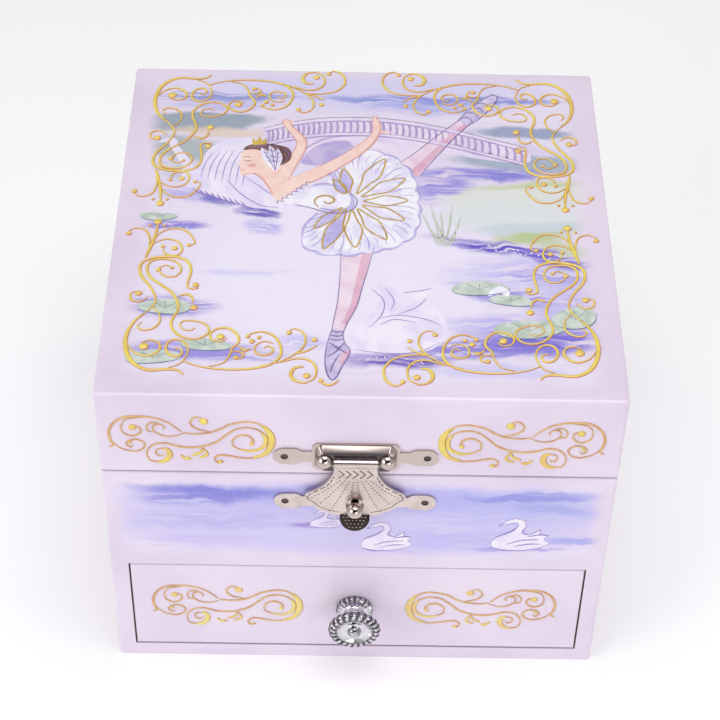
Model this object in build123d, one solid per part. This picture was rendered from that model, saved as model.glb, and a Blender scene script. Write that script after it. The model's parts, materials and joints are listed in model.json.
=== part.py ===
from build123d import *
import os
from math import cos, pi, radians, sin

os.makedirs("parts", exist_ok=True)

# A musical jewellery box with a fold-away dancer: millimetres, +X right, +Y back, +Z up.
# The origin is the centre of the base's underside.

# Box
WIDTH = 120.0
DEPTH = 120.0
HEIGHT = 95.0
SEAM = 69.5            # lower edge of the lid
SEAM_GAP = 0.4
PAPER = 0.35           # printed paper wrapped round the boards
BOARD = 3.95
CORNER_R = 1.0
EDGE_R = 0.6

# Drawer
OPENING_TOP = 36.0
DRAWER_GAP = 0.35
DRAWER_FRONT = 3.35
DRAWER_BOARD = 3.0
DRAWER_END = 22.9
DRAWER_WALL_TOP = 33.0
KNOB_X = -0.5
KNOB_Z = 20.15

# Compartment
FLOOR = 3.0
BAY_BACK_Y = 23.4
BAY_BACK = 2.0
STEP_Y = -20.0         # where the ring tray meets the raised platform
PLATFORM_UNDER = 50.0
PLATFORM_BOARD = 2.4
VELVET = 0.6
LINING = 0.5
RING_ROLL_R = 5.4

# Lid
LID_LINING = 2.0
MIRROR_WIDTH = 80.0
MIRROR_DEPTH = 60.0
MIRROR_THICK = 1.7

# Lid hinges
HINGE_XS = (-35.0, 35.0)
HINGE_Y = 61.5
HINGE_Z = 69.3
HINGE_LENGTH = 20.0
KNUCKLE_R = 1.5
HINGE_PIN_R = 0.7
RUNNING = 0.05
LEAF = 0.6
LEAF_HEIGHT = 10.5

# Shell latch
LATCH_X = -1.0
LATCH_PIN_Y = -62.3
LATCH_PIN_Z = 75.8
LATCH_SHEET = 0.5
EAR_REACH = 16.4
STUD_Z = 60.6
LOWER_EAR_Z = 60.4
STUD_R = 1.95

# Musical movement
BARREL_Z = 26.0
BARREL_R = 12.2
CROWN_TEETH = 44
CYLINDER_Y = 36.0
CYLINDER_R = 6.5
CYLINDER_BOTTOM = 17.2
CYLINDER_TOP = 36.8
ARBOR_R = 0.9
GEAR_MODULE = 0.5
GEAR_TEETH = 30
FINE_MODULE = 0.4
GOVERNOR_DRIVE_TEETH = 50
GOVERNOR_PINION_TEETH = 12
WORM_WHEEL_TEETH = 22
GOVERNOR_X = 12.4
WORM_X = 17.95
WORM_Z = 30.3
FIGURE_GEAR_Z = 43.5
GEAR_WIDTH = 2.0
COMB_TEETH = 18
PLATE_BACK = 55.7      # the bedplate's face on the back panel
BEDPLATE = 1.2

# Dancer
SPINDLE_Y = 6.0
SPINDLE_R = 1.5
BUSH_R = 3.4
IDLER_Y = 21.0
SPRING_FOOT_Z = 61.0
SPRING_BEND_R = 6.0
TUTU_R = 12.0

# Stop plunger
PLUNGER_X = 21.0
PLUNGER_Y = 57.7
WIRE_R = 0.35
WIRE_Z = 45.0

HALF_W = WIDTH / 2
HALF_D = DEPTH / 2
CASE_TOP = SEAM - SEAM_GAP
BOARD_X = HALF_W - PAPER
BOARD_Y = HALF_D - PAPER
INNER_X = BOARD_X - BOARD
INNER_Y = BOARD_Y - BOARD
BASE_TOP = PAPER + BOARD
FLOOR_TOP = OPENING_TOP + FLOOR
PLATFORM_TOP = PLATFORM_UNDER + PLATFORM_BOARD
LID_INNER_TOP = HEIGHT - PAPER - BOARD
PLATE_FRONT = PLATE_BACK - BEDPLATE
SCREW_R = 0.8
SCREW_FIT = 0.03


def block(x0, x1, y0, y1, z0, z1):
    """A board between two opposite corners."""
    return Pos((x0 + x1) / 2, (y0 + y1) / 2, (z0 + z1) / 2) * Box(x1 - x0, y1 - y0, z1 - z0)


def rod_x(y, z, x0, x1, radius):
    return Pos((x0 + x1) / 2, y, z) * Rot(0, 90, 0) * Cylinder(radius, x1 - x0)


def rod_y(x, z, y0, y1, radius):
    return Pos(x, (y0 + y1) / 2, z) * Rot(90, 0, 0) * Cylinder(radius, y1 - y0)


def rod_z(x, y, z0, z1, radius):
    return Pos(x, y, (z0 + z1) / 2) * Cylinder(radius, z1 - z0)


def save(node, *solids):
    """Writes one node, from one solid or a group of separate ones."""
    shape = solids[0] if len(solids) == 1 else Compound(children=list(solids))
    export_step(shape, f"parts/{node}.step")


def gear(teeth, module, width, bore, turn=0.0):
    """A spur gear about Z, standing on z=0, with straight flanks and free backlash."""
    pitch = teeth * module / 2
    root = pitch - 1.2 * module
    tip = pitch + 0.9 * module
    step = 2 * pi / teeth
    corners = ((root, -0.27), (tip, -0.11), (tip, 0.11), (root, 0.27))
    points = []
    for tooth in range(teeth):
        for radius, share in corners:
            angle = radians(turn) + (tooth + share) * step
            points.append((radius * cos(angle), radius * sin(angle)))
    wheel = extrude(make_face(Polyline(*points, close=True)), amount=width)
    return wheel - rod_z(0, 0, -1, width + 1, bore)


# ---------------------------------------------------------------- screws and nails

HINGE_HOLE_XS = tuple(x + side * 6.5 for x in HINGE_XS for side in (-1, 1))
CASE_LEAF_HOLE_Z = HINGE_Z - 7.0
LID_LEAF_HOLE_Z = HINGE_Z + 7.0
PLATE_SCREWS = tuple((x, z) for x in (-31.0, 28.0) for z in (11.0, 40.5))
NAIL_XS = (LATCH_X - EAR_REACH, LATCH_X + EAR_REACH)
NAIL_R = 0.55


def back_holes(z):
    """Pilot holes in the back for one row of hinge screws."""
    holes = [rod_y(x, z, HALF_D - 3.2, HALF_D + 1, SCREW_R + SCREW_FIT) for x in HINGE_HOLE_XS]
    return Part() + holes


def hinge_screws(z):
    face = HALF_D + LEAF
    for x in HINGE_HOLE_XS:
        head = Pos(x, face + 0.3, z) * Rot(-90, 0, 0) * Cone(1.5, 0.9, 0.6)
        shank = rod_y(x, z, HALF_D - 3.0, face, SCREW_R)
        slot = block(x - 1.6, x + 1.6, face + 0.35, face + 1, z - 0.15, z + 0.15)
        yield head + shank - slot


def nail_holes(z):
    holes = [rod_y(x, z, -HALF_D - 0.2, -HALF_D + 3.2, NAIL_R + SCREW_FIT) for x in NAIL_XS]
    return Part() + holes


def nails(z):
    for x in NAIL_XS:
        head = rod_y(x, z, -HALF_D - 0.3, -HALF_D, 0.85)
        yield head + rod_y(x, z, -HALF_D, -HALF_D + 3.0, NAIL_R)


# ---------------------------------------------------------------- case boards and cover

def case_boards():
    key_hole = rod_y(0, BARREL_Z, PLATE_BACK - 1, HALF_D + 1, 2.2)
    plate_pilots = []
    for x, z in PLATE_SCREWS:
        plate_pilots.append(rod_y(x, z, PLATE_BACK - 1, PLATE_BACK + 3.0, SCREW_R + SCREW_FIT))
    plunger_bore = rod_z(PLUNGER_X, PLUNGER_Y, WIRE_Z - 1.4, CASE_TOP + 1, 1.05)
    wire_slot = block(PLUNGER_X - 0.6, PLUNGER_X + 0.6, INNER_Y - 1, PLUNGER_Y, WIRE_Z - 0.8, WIRE_Z + 4.8)

    top = CASE_TOP - PAPER
    side = block(INNER_X, BOARD_X, -BOARD_Y, BOARD_Y, 0, top)
    save("case_side_panels", side, mirror(side, Plane.YZ))
    save("case_base_panel", block(-INNER_X, INNER_X, -BOARD_Y, INNER_Y, 0, BASE_TOP))
    front = block(-INNER_X, INNER_X, -BOARD_Y, -INNER_Y, OPENING_TOP, top)
    save("case_front_panel", front - nail_holes(LOWER_EAR_Z) - rod_y(LATCH_X, STUD_Z, -61, -56, 1.0))
    back = block(-INNER_X, INNER_X, INNER_Y, BOARD_Y, 0, top)
    back = back - back_holes(CASE_LEAF_HOLE_Z) - key_hole - (Part() + plate_pilots)
    save("case_back_panel", back - plunger_bore - wire_slot)

    # The paper skin wraps the four outer faces and turns over the top rim.
    skin = block(-HALF_W, HALF_W, -HALF_D, HALF_D, 0, CASE_TOP)
    skin = fillet(skin.edges().filter_by(Axis.Z), CORNER_R)
    skin = fillet(skin.faces().sort_by(Axis.Z)[-1].edges(), EDGE_R)
    skin -= block(-BOARD_X, BOARD_X, -BOARD_Y, BOARD_Y, -1, top)
    skin -= block(-INNER_X, INNER_X, -INNER_Y, INNER_Y, 0, CASE_TOP + 1)
    skin -= block(-INNER_X, INNER_X, -HALF_D - 1, 0, BASE_TOP, OPENING_TOP)
    skin -= back_holes(CASE_LEAF_HOLE_Z) + nail_holes(LOWER_EAR_Z)
    skin -= rod_y(LATCH_X, STUD_Z, -61, -56, 1.0)
    save("case_cover_paper", skin - key_hole - plunger_bore)


def compartment():
    bay_end = BAY_BACK_Y + BAY_BACK
    save("compartment_floor", block(-INNER_X, INNER_X, -INNER_Y, bay_end, OPENING_TOP, FLOOR_TOP))
    save("drawer_bay_back", block(-INNER_X, INNER_X, BAY_BACK_Y, bay_end, BASE_TOP, OPENING_TOP))
    riser = block(-INNER_X, INNER_X, STEP_Y, STEP_Y + 2, FLOOR_TOP, PLATFORM_UNDER)
    platform = block(-INNER_X, INNER_X, STEP_Y, INNER_Y, PLATFORM_UNDER, PLATFORM_TOP)
    bush_hole = rod_z(0, SPINDLE_Y, PLATFORM_UNDER - 1, PLATFORM_TOP + 2, BUSH_R)
    velvet_hole = rod_z(0, SPINDLE_Y, PLATFORM_UNDER - 1, PLATFORM_TOP + 2, BUSH_R + 0.1)
    save("platform_boards", riser, platform - bush_hole)
    cloth_top = PLATFORM_TOP + VELVET
    cloth = block(-INNER_X, INNER_X, STEP_Y - VELVET, INNER_Y, PLATFORM_TOP, cloth_top)
    cloth += block(-INNER_X, INNER_X, STEP_Y - VELVET, STEP_Y, FLOOR_TOP + VELVET, cloth_top)
    tray = block(-INNER_X, INNER_X, -INNER_Y, STEP_Y, FLOOR_TOP, FLOOR_TOP + VELVET)
    save("compartment_velvet", cloth - velvet_hole, tray)

    lining = block(-INNER_X, INNER_X, -INNER_Y, INNER_Y, FLOOR_TOP + VELVET, CASE_TOP - 0.8)
    inner_x = INNER_X - LINING
    inner_y = INNER_Y - LINING
    lining -= block(-inner_x, inner_x, -inner_y, inner_y, 0, HEIGHT)
    lining -= block(-HALF_W, HALF_W, STEP_Y - VELVET, HALF_D, 0, cloth_top)
    save("wall_lining", lining)

    tray_depth = STEP_Y - VELVET + inner_y
    rolls = []
    for index in range(3):
        y = -inner_y + tray_depth * (index + 0.5) / 3
        roll = rod_x(y, FLOOR_TOP + VELVET + RING_ROLL_R - 0.4, -inner_x + 0.3, inner_x - 0.3, RING_ROLL_R)
        rolls.append(roll - block(-HALF_W, HALF_W, y - 9, y + 9, 0, FLOOR_TOP + VELVET + 0.05))
    save("ring_rolls", *rolls)


# ---------------------------------------------------------------- lid

def lid():
    bottom = SEAM + PAPER
    lid_holes = back_holes(LID_LEAF_HOLE_Z)
    save("lid_top_panel", block(-BOARD_X, BOARD_X, -BOARD_Y, BOARD_Y, LID_INNER_TOP, HEIGHT - PAPER))
    front = block(-BOARD_X, BOARD_X, -BOARD_Y, -INNER_Y, bottom, LID_INNER_TOP)
    save("lid_front_rail", front - nail_holes(LATCH_PIN_Z))
    save("lid_back_rail", block(-BOARD_X, BOARD_X, INNER_Y, BOARD_Y, bottom, LID_INNER_TOP) - lid_holes)
    rail = block(INNER_X, BOARD_X, -INNER_Y, INNER_Y, bottom, LID_INNER_TOP)
    save("lid_side_rails", rail, mirror(rail, Plane.YZ))

    skin = block(-HALF_W, HALF_W, -HALF_D, HALF_D, SEAM, HEIGHT)
    skin = fillet(skin.edges().filter_by(Axis.Z), CORNER_R)
    rims = skin.faces().sort_by(Axis.Z)[-1].edges() + skin.faces().sort_by(Axis.Z)[0].edges()
    skin = fillet(rims, EDGE_R)
    skin -= block(-BOARD_X, BOARD_X, -BOARD_Y, BOARD_Y, bottom, HEIGHT - PAPER)
    skin -= block(-INNER_X, INNER_X, -INNER_Y, INNER_Y, SEAM - 1, bottom)
    save("lid_cover_paper", skin - lid_holes - nail_holes(LATCH_PIN_Z))

    window = block(-MIRROR_WIDTH / 2 - 0.1, MIRROR_WIDTH / 2 + 0.1, -MIRROR_DEPTH / 2 - 0.1,
                   MIRROR_DEPTH / 2 + 0.1, 0, HEIGHT)
    card = block(-INNER_X + 0.2, INNER_X - 0.2, -INNER_Y + 0.2, INNER_Y - 0.2,
                 LID_INNER_TOP - LID_LINING, LID_INNER_TOP)
    save("lid_lining", card - window)
    save("lid_mirror", block(-MIRROR_WIDTH / 2, MIRROR_WIDTH / 2, -MIRROR_DEPTH / 2, MIRROR_DEPTH / 2,
                             LID_INNER_TOP - MIRROR_THICK, LID_INNER_TOP))


def lid_hinges():
    case_leaves = []
    lid_leaves = []
    pins = []
    bore = HINGE_PIN_R + RUNNING
    third = HINGE_LENGTH / 3
    relief = KNUCKLE_R + 0.3
    for x in HINGE_XS:
        left = x - HINGE_LENGTH / 2
        right = x + HINGE_LENGTH / 2
        hole = rod_x(HINGE_Y, HINGE_Z, left - 1, right + 1, bore)
        gap = block(left + third - 0.15, right - third + 0.15, HALF_D - 1, HINGE_Y + 3,
                    HINGE_Z - relief, HINGE_Z + relief)
        leaf = block(left, right, HALF_D, HALF_D + LEAF, HINGE_Z - LEAF_HEIGHT, HINGE_Z)
        leaf = leaf + rod_x(HINGE_Y, HINGE_Z, left, right, KNUCKLE_R) - hole - gap
        for hole_x in (x - 6.5, x + 6.5):
            leaf -= rod_y(hole_x, CASE_LEAF_HOLE_Z, HALF_D - 1, HALF_D + 2, SCREW_R + SCREW_FIT)
        case_leaves.append(leaf)

        leaf = block(left, right, HALF_D, HALF_D + LEAF, HINGE_Z + relief, HINGE_Z + LEAF_HEIGHT)
        tongue = block(left + third, right - third, HALF_D, HALF_D + LEAF, HINGE_Z, HINGE_Z + relief)
        knuckle = rod_x(HINGE_Y, HINGE_Z, left + third, right - third, KNUCKLE_R)
        leaf = leaf + tongue + knuckle - hole
        for hole_x in (x - 6.5, x + 6.5):
            leaf -= rod_y(hole_x, LID_LEAF_HOLE_Z, HALF_D - 1, HALF_D + 2, SCREW_R + SCREW_FIT)
        lid_leaves.append(leaf)
        pins.append(rod_x(HINGE_Y, HINGE_Z, left - 0.3, right + 0.3, HINGE_PIN_R))
    save("hinge_case_leaves", *case_leaves)
    save("hinge_lid_leaves", *lid_leaves)
    save("hinge_pins", *pins)
    save("hinge_case_screws", *hinge_screws(CASE_LEAF_HOLE_Z))
    save("hinge_lid_screws", *hinge_screws(LID_LEAF_HOLE_Z))


# ---------------------------------------------------------------- shell latch

def ear_plate(z, middle_half_width, middle_half_height, hole_r):
    """The flat of a latch plate, 38 mm over its two ears, on the box's front face."""
    plane = Plane.XZ.offset(HALF_D)
    ear_x = EAR_REACH
    outline = Pos(LATCH_X, z) * Rectangle(2 * middle_half_width, 2 * middle_half_height)
    outline = fillet(outline.vertices(), 1.6)
    outline += Pos(LATCH_X, z) * Rectangle(2 * ear_x, 3.4)
    for side in (-1, 1):
        outline += Pos(LATCH_X + side * (ear_x - 1.0), z) * SlotOverall(7.2, 5.1)
    for side in (-1, 1):
        outline -= Pos(LATCH_X + side * ear_x, z) * Circle(hole_r)
    return extrude(plane * outline, amount=LATCH_SHEET)


def latch():
    lower = ear_plate(LOWER_EAR_Z, 9.0, 3.2, 0.9)
    stud_fit = 1.0
    lower -= rod_y(LATCH_X, STUD_Z, -HALF_D - 1, -HALF_D + 1, stud_fit)
    save("latch_lower_plate", lower)
    stud = rod_y(LATCH_X, STUD_Z, -63.0, -HALF_D + 3.0, stud_fit)
    stud += Pos(LATCH_X, -63.4, STUD_Z) * Sphere(STUD_R)
    save("latch_ball_stud", stud)
    save("latch_lower_nails", *nails(LOWER_EAR_Z))

    # Upper plate: a pressed frame with two domed bumps that hold the pin's ends.
    middle_z = LATCH_PIN_Z + 0.05
    upper = ear_plate(LATCH_PIN_Z, 10.0, 4.35, 0.9)
    base_plane = Plane.XZ.offset(HALF_D + LATCH_SHEET)
    face_plane = Plane.XZ.offset(HALF_D + 1.9)
    frame = loft([
        base_plane * Pos(LATCH_X, middle_z) * RectangleRounded(18.6, 7.8, 1.6),
        face_plane * Pos(LATCH_X, middle_z) * RectangleRounded(17.2, 6.2, 1.2)])
    for side in (-1, 1):
        frame += Pos(LATCH_X + side * 7.2, -HALF_D - 1.5, LATCH_PIN_Z) * Sphere(2.05)
    frame -= block(-HALF_W, HALF_W, -HALF_D - LATCH_SHEET, 0, 0, HEIGHT)
    frame -= block(LATCH_X - 5.3, LATCH_X + 5.3, -HALF_D - 9, 0, LATCH_PIN_Z - 6, LATCH_PIN_Z + 1.9)
    upper += frame
    upper -= block(LATCH_X - 5.3, LATCH_X + 5.3, -HALF_D - 9, 0, LATCH_PIN_Z - 1.7, LATCH_PIN_Z + 1.9)
    pin_r = 0.5
    upper -= rod_x(LATCH_PIN_Y, LATCH_PIN_Z, LATCH_X - 8.3, LATCH_X + 8.3, pin_r)
    save("latch_upper_plate", upper)
    save("latch_hinge_pin", rod_x(LATCH_PIN_Y, LATCH_PIN_Z, LATCH_X - 8.3, LATCH_X + 8.3, pin_r))
    save("latch_upper_nails", *nails(LATCH_PIN_Z))

    save("latch_flap", latch_flap(pin_r + 0.06))


def latch_flap(bore):
    """A rolled knuckle, a short neck and a scalloped fan with a bent finger tab."""
    neck = 5.0
    shoulder = (neck, 71.9)
    flare = (11.4, 64.4)
    lobe = (10.2, 61.0)
    scallop = (6.8, 58.2)
    foot = (3.4, 57.0)
    edges = [
        Line((neck, LATCH_PIN_Z), shoulder),
        ThreePointArc(shoulder, (7.2, 67.5), flare),
        ThreePointArc(flare, (11.75, 62.5), lobe),
        ThreePointArc(lobe, (9.0, 59.2), scallop),
        ThreePointArc(scallop, (5.2, 57.1), foot),
        Line(foot, (0, foot[1])),
        Line((0, foot[1]), (0, LATCH_PIN_Z)),
        Line((0, LATCH_PIN_Z), (neck, LATCH_PIN_Z))]
    half = make_face(edges)
    sheet_back = -LATCH_PIN_Y - 1.2
    half_sheet = extrude(Plane.XZ.offset(sheet_back) * half, amount=LATCH_SHEET)
    sheet = half_sheet + mirror(half_sheet, Plane.YZ)
    # The slot is a little taller than the ball, so that the flap swings off it.
    slot = Pos(0, STUD_Z - 0.35) * SlotOverall(4.9, 4.1, rotation=90)
    sheet -= extrude(Plane.XZ.offset(sheet_back - 1) * slot, amount=4)
    tab_outline = Pos(0, -0.6) * Rectangle(7, 1.6) + Pos(0, -1.0) * Ellipse(3.5, 3.0)
    tab_outline -= Pos(0, 2.2) * Rectangle(9, 4)
    tab = extrude(Plane.XZ.offset(-LATCH_SHEET / 2) * tab_outline, amount=LATCH_SHEET)
    bend = Pos(0, -sheet_back - LATCH_SHEET / 2, foot[1] + 0.1)
    sheet += bend * Rot(-45, 0, 0) * tab
    sheet += rod_x(LATCH_PIN_Y, LATCH_PIN_Z, -neck, neck, 1.2)
    sheet -= rod_x(LATCH_PIN_Y, LATCH_PIN_Z, -neck - 1, neck + 1, bore)
    return Pos(LATCH_X, 0, 0) * sheet


# ---------------------------------------------------------------- drawer

def drawer():
    x = INNER_X - DRAWER_GAP
    low = BASE_TOP + DRAWER_GAP
    high = OPENING_TOP - DRAWER_GAP
    rear = -BOARD_Y + DRAWER_FRONT
    screw_hole = rod_y(KNOB_X, KNOB_Z, -HALF_D - 1, rear + 1, 1.55)
    front = block(-x + PAPER, x - PAPER, -BOARD_Y, rear, low + PAPER, high - PAPER)
    save("drawer_front", front - screw_hole)
    skin = block(-x, x, -HALF_D, rear, low, high)
    skin = fillet(skin.faces().sort_by(Axis.Y)[0].edges(), 0.5)
    skin -= block(-x + PAPER, x - PAPER, -BOARD_Y, rear + 1, low + PAPER, high - PAPER)
    save("drawer_front_paper", skin - screw_hole)

    outer = INNER_X - 0.5
    inner = outer - DRAWER_BOARD
    inner_end = DRAWER_END - DRAWER_BOARD
    side = block(inner, outer, rear, DRAWER_END, low, DRAWER_WALL_TOP)
    back = block(-inner, inner, inner_end, DRAWER_END, low, DRAWER_WALL_TOP)
    save("drawer_walls", side, mirror(side, Plane.YZ), back)
    save("drawer_bottom", block(-inner, inner, rear, inner_end, low, low + 2))
    lining = block(-inner, inner, rear, inner_end, low + 2, DRAWER_WALL_TOP - 0.4)
    lining -= block(-inner + LINING, inner - LINING, rear + LINING, inner_end - LINING,
                    low + 2 + VELVET, HEIGHT)
    save("drawer_lining", lining - rod_y(KNOB_X, KNOB_Z, rear - 1, rear + 1, 3.2))

    head = Pos(KNOB_X, rear + 0.6, KNOB_Z) * Rot(-90, 0, 0) * Cone(3.0, 2.2, 1.2)
    head -= block(KNOB_X - 2, KNOB_X + 2, rear + 0.8, rear + 2, KNOB_Z - 0.3, KNOB_Z + 0.3)
    save("knob_screw", head + rod_y(KNOB_X, KNOB_Z, -66.0, rear, 1.5))
    save("drawer_knob", knob())


def knob():
    """A turned knob: collar, waist, swelling head with a raised round rim and a centre button."""
    turned = Pos(0, 0, 0.4) * Cylinder(4.0, 0.8)
    turned += Pos(0, 0, 2.4) * Cone(3.2, 2.4, 3.4)
    turned += Pos(0, 0, 5.2) * Cone(2.4, 5.0, 2.4)
    turned += Pos(0, 0, 7.1) * Cylinder(5.2, 1.6)
    turned += Pos(0, 0, 7.6) * Torus(5.05, 1.4)
    turned += Pos(0, 0, 8.2) * Cylinder(1.5, 2.0)
    turned = fillet(turned.edges().sort_by(Axis.Z)[-1], 0.5)
    turned = Pos(KNOB_X, -HALF_D, KNOB_Z) * Rot(90, 0, 0) * turned
    return turned - rod_y(KNOB_X, KNOB_Z, -66.3, -HALF_D + 1, 1.53)


# ---------------------------------------------------------------- musical movement

def movement_frame():
    plate = block(-34, 31, PLATE_FRONT, PLATE_BACK, 8, 43.5)
    plate -= rod_y(0, BARREL_Z, 50, 60, 1.5 + RUNNING)
    plate -= rod_y(WORM_X, WORM_Z, 50, 60, 0.5 + RUNNING)
    for x, z in PLATE_SCREWS:
        plate -= rod_y(x, z, 50, 60, SCREW_R + SCREW_FIT)
    save("movement_bedplate", plate)

    pivots = ((0, CYLINDER_Y, ARBOR_R), (GOVERNOR_X, CYLINDER_Y, 0.6))
    arms = []
    for low, high, foot_low, foot_high in ((10.6, 12.0, 8.4, 12.0), (41.2, 42.6, 41.2, 43.4)):
        arm = block(-5, 16.5, 30, PLATE_FRONT, low, high)
        arm += block(-5, 16.5, PLATE_FRONT - 1.2, PLATE_FRONT, foot_low, foot_high)
        for x, y, radius in pivots:
            arm -= rod_z(x, y, low - 1, high + 1, radius + RUNNING)
        arms.append(arm)
    save("cylinder_bracket", *arms)

    frame = block(23, 24.2, 27, PLATE_FRONT, 24, 37)
    frame += block(WORM_X - 1.4, 24.2, 27, 28.2, WORM_Z - 2, WORM_Z + 2)
    frame += block(24.2, 30, PLATE_FRONT - 1.2, PLATE_FRONT, 24, 37)
    save("governor_frame", frame - rod_y(WORM_X, WORM_Z, 26, 30, 0.5 + RUNNING))

    screws = []
    for x, z in PLATE_SCREWS:
        head = rod_y(x, z, PLATE_FRONT - 0.9, PLATE_FRONT, 1.6)
        head -= block(x - 2, x + 2, PLATE_FRONT - 1, PLATE_FRONT - 0.6, z - 0.2, z + 0.2)
        screws.append(head + rod_y(x, z, PLATE_FRONT, PLATE_BACK + 2.8, SCREW_R))
    for z in (22.0, 32.0):
        head = rod_y(-26, z, 34.7, 35.6, 1.6)
        head -= block(-28, -24, 34.6, 35.0, z - 0.2, z + 0.2)
        screws.append(head + rod_y(-26, z, 35.6, 38.4, SCREW_R))
    save("movement_screws", *screws)


def comb():
    low = 17.4
    high = 36.6
    pitch = (high - low) / COMB_TEETH
    plate = block(-30, -CYLINDER_R - 0.6, 35.6, 36.4, low, high)
    plate += block(-30, -21, 35.6, 36.4, low - 1, high + 1)
    slots = []
    for index in range(1, COMB_TEETH):
        z = low + index * pitch
        root_x = -19.5 + 3.0 * index / COMB_TEETH
        slots.append(block(root_x, 0, 35, 37, z - 0.14, z + 0.14))
    plate -= Part() + slots
    bracket = block(-31, -21, 36.4, 38.4, 16, 38)
    for z in (16.0, 36.5):
        bracket += block(-31, -23, 38.4, PLATE_FRONT, z, z + 1.5)
    for z in (22.0, 32.0):
        hole = rod_y(-26, z, 34, 40, SCREW_R + SCREW_FIT)
        plate -= hole
        bracket -= hole
    save("comb", plate)
    save("comb_bracket", bracket)


def spring_barrel():
    """The mainspring's drum on the winding arbor, with crown teeth on its front face."""
    front = 44.2
    back = 54.2
    drum = rod_y(0, BARREL_Z, front, back, BARREL_R)
    drum -= rod_y(0, BARREL_Z, front + 0.8, back + 1, BARREL_R - 0.8)
    crown_r = CROWN_TEETH * GEAR_MODULE / 2
    tip_y = 43.1
    depth = tip_y - front
    profile = make_face(Polyline((-0.42, 0), (-0.19, depth), (0.19, depth), (0.42, 0), close=True))
    tooth = Pos(0, front, BARREL_Z - crown_r - 1.1) * extrude(profile, amount=2.2)
    axis = Axis((0, 0, BARREL_Z), (0, 1, 0))
    drum += [tooth.rotate(axis, index * 360 / CROWN_TEETH) for index in range(CROWN_TEETH)]
    drum -= rod_y(0, BARREL_Z, 40, 60, 1.5 + RUNNING)
    save("mainspring_barrel", drum)

    # The mainspring is a flat strip wound outwards from the arbor.
    turns = 5
    steps = 24 * turns
    inner_r = 3.0
    growth = 1.55
    strip = 0.5
    outline = []
    for offset, order in ((0, range(steps + 1)), (strip, range(steps, -1, -1))):
        for step in order:
            angle = 2 * pi * step / 24
            radius = inner_r + offset + growth * angle / (2 * pi)
            outline.append((radius * cos(angle), radius * sin(angle)))
    coil = extrude(make_face(Polyline(*outline, close=True)), amount=7.6)
    save("mainspring", Pos(0, back - 1.0, BARREL_Z) * Rot(90, 0, 0) * coil)


def winding_key():
    key = rod_y(0, BARREL_Z, 44.3, 72.0, 1.5)
    key += rod_y(0, BARREL_Z, 62.0, 68.0, 3.0)
    plane = Plane.XY.offset(BARREL_Z - 0.8)
    wing = Pos(0, 70.0) * Rectangle(6, 9)
    for side in (-1, 1):
        wing += Pos(side * 6.2, 71.5) * Circle(5.2)
    for side in (-1, 1):
        wing -= Pos(side * 6.4, 71.8) * Circle(2.3)
    key += extrude(plane * wing, amount=1.6)
    save("winding_key", key)


def pinned_cylinder():
    pitch = (CYLINDER_TOP - CYLINDER_BOTTOM - 1.2) / COMB_TEETH
    drum = rod_z(0, CYLINDER_Y, CYLINDER_BOTTOM, CYLINDER_TOP, CYLINDER_R)
    pins = []
    for row in range(COMB_TEETH):
        z = CYLINDER_BOTTOM + 0.6 + (row + 0.5) * pitch
        for note in range(4):
            angle = 137.5 * row + 90 * note + 17 * (row % 3) * note
            pin = Pos(0, CYLINDER_Y, z) * Rot(0, 0, angle) * Pos(CYLINDER_R, 0, 0) * Box(0.8, 0.4, 0.4)
            pins.append(pin)
    drum += pins
    save("pinned_cylinder", drum - rod_z(0, CYLINDER_Y, 0, HEIGHT, ARBOR_R))

    place = Pos(0, CYLINDER_Y, 0)
    arbor = rod_z(0, CYLINDER_Y, 9.6, FIGURE_GEAR_Z + GEAR_WIDTH + 1, ARBOR_R)
    arbor += place * Pos(0, 0, 14) * gear(GEAR_TEETH, GEAR_MODULE, GEAR_WIDTH, ARBOR_R)
    arbor += place * Pos(0, 0, 38.7) * gear(GOVERNOR_DRIVE_TEETH, FINE_MODULE, 1.0, ARBOR_R)
    arbor += place * Pos(0, 0, FIGURE_GEAR_Z) * gear(GEAR_TEETH, GEAR_MODULE, GEAR_WIDTH, ARBOR_R)
    save("cylinder_arbor_gears", arbor)


def governor():
    wheel = rod_z(GOVERNOR_X, CYLINDER_Y, 9.8, 43.2, 0.6)
    half_step = 180 / GOVERNOR_PINION_TEETH
    pinion = gear(GOVERNOR_PINION_TEETH, FINE_MODULE, 1.4, 0.6, half_step)
    wheel += Pos(GOVERNOR_X, CYLINDER_Y, 38.5) * pinion
    wheel += Pos(GOVERNOR_X, CYLINDER_Y, WORM_Z - 0.7) * gear(WORM_WHEEL_TEETH, FINE_MODULE, 1.4, 0.6)
    save("governor_wheel", wheel)

    fly = rod_y(WORM_X, WORM_Z, 28.4, 53.0, 0.7)
    fly += rod_y(WORM_X, WORM_Z, 27.1, 55.4, 0.5)
    for turn in range(10):
        y = 30.2 + turn * FINE_MODULE * pi
        fly += Pos(WORM_X, y, WORM_Z) * Rot(90, 0, 0) * Torus(0.55, 0.2)
    fly += block(WORM_X - 3.4, WORM_X + 3.4, 48.2, 52.2, WORM_Z - 0.2, WORM_Z + 0.2)
    save("governor_fly", fly)


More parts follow.
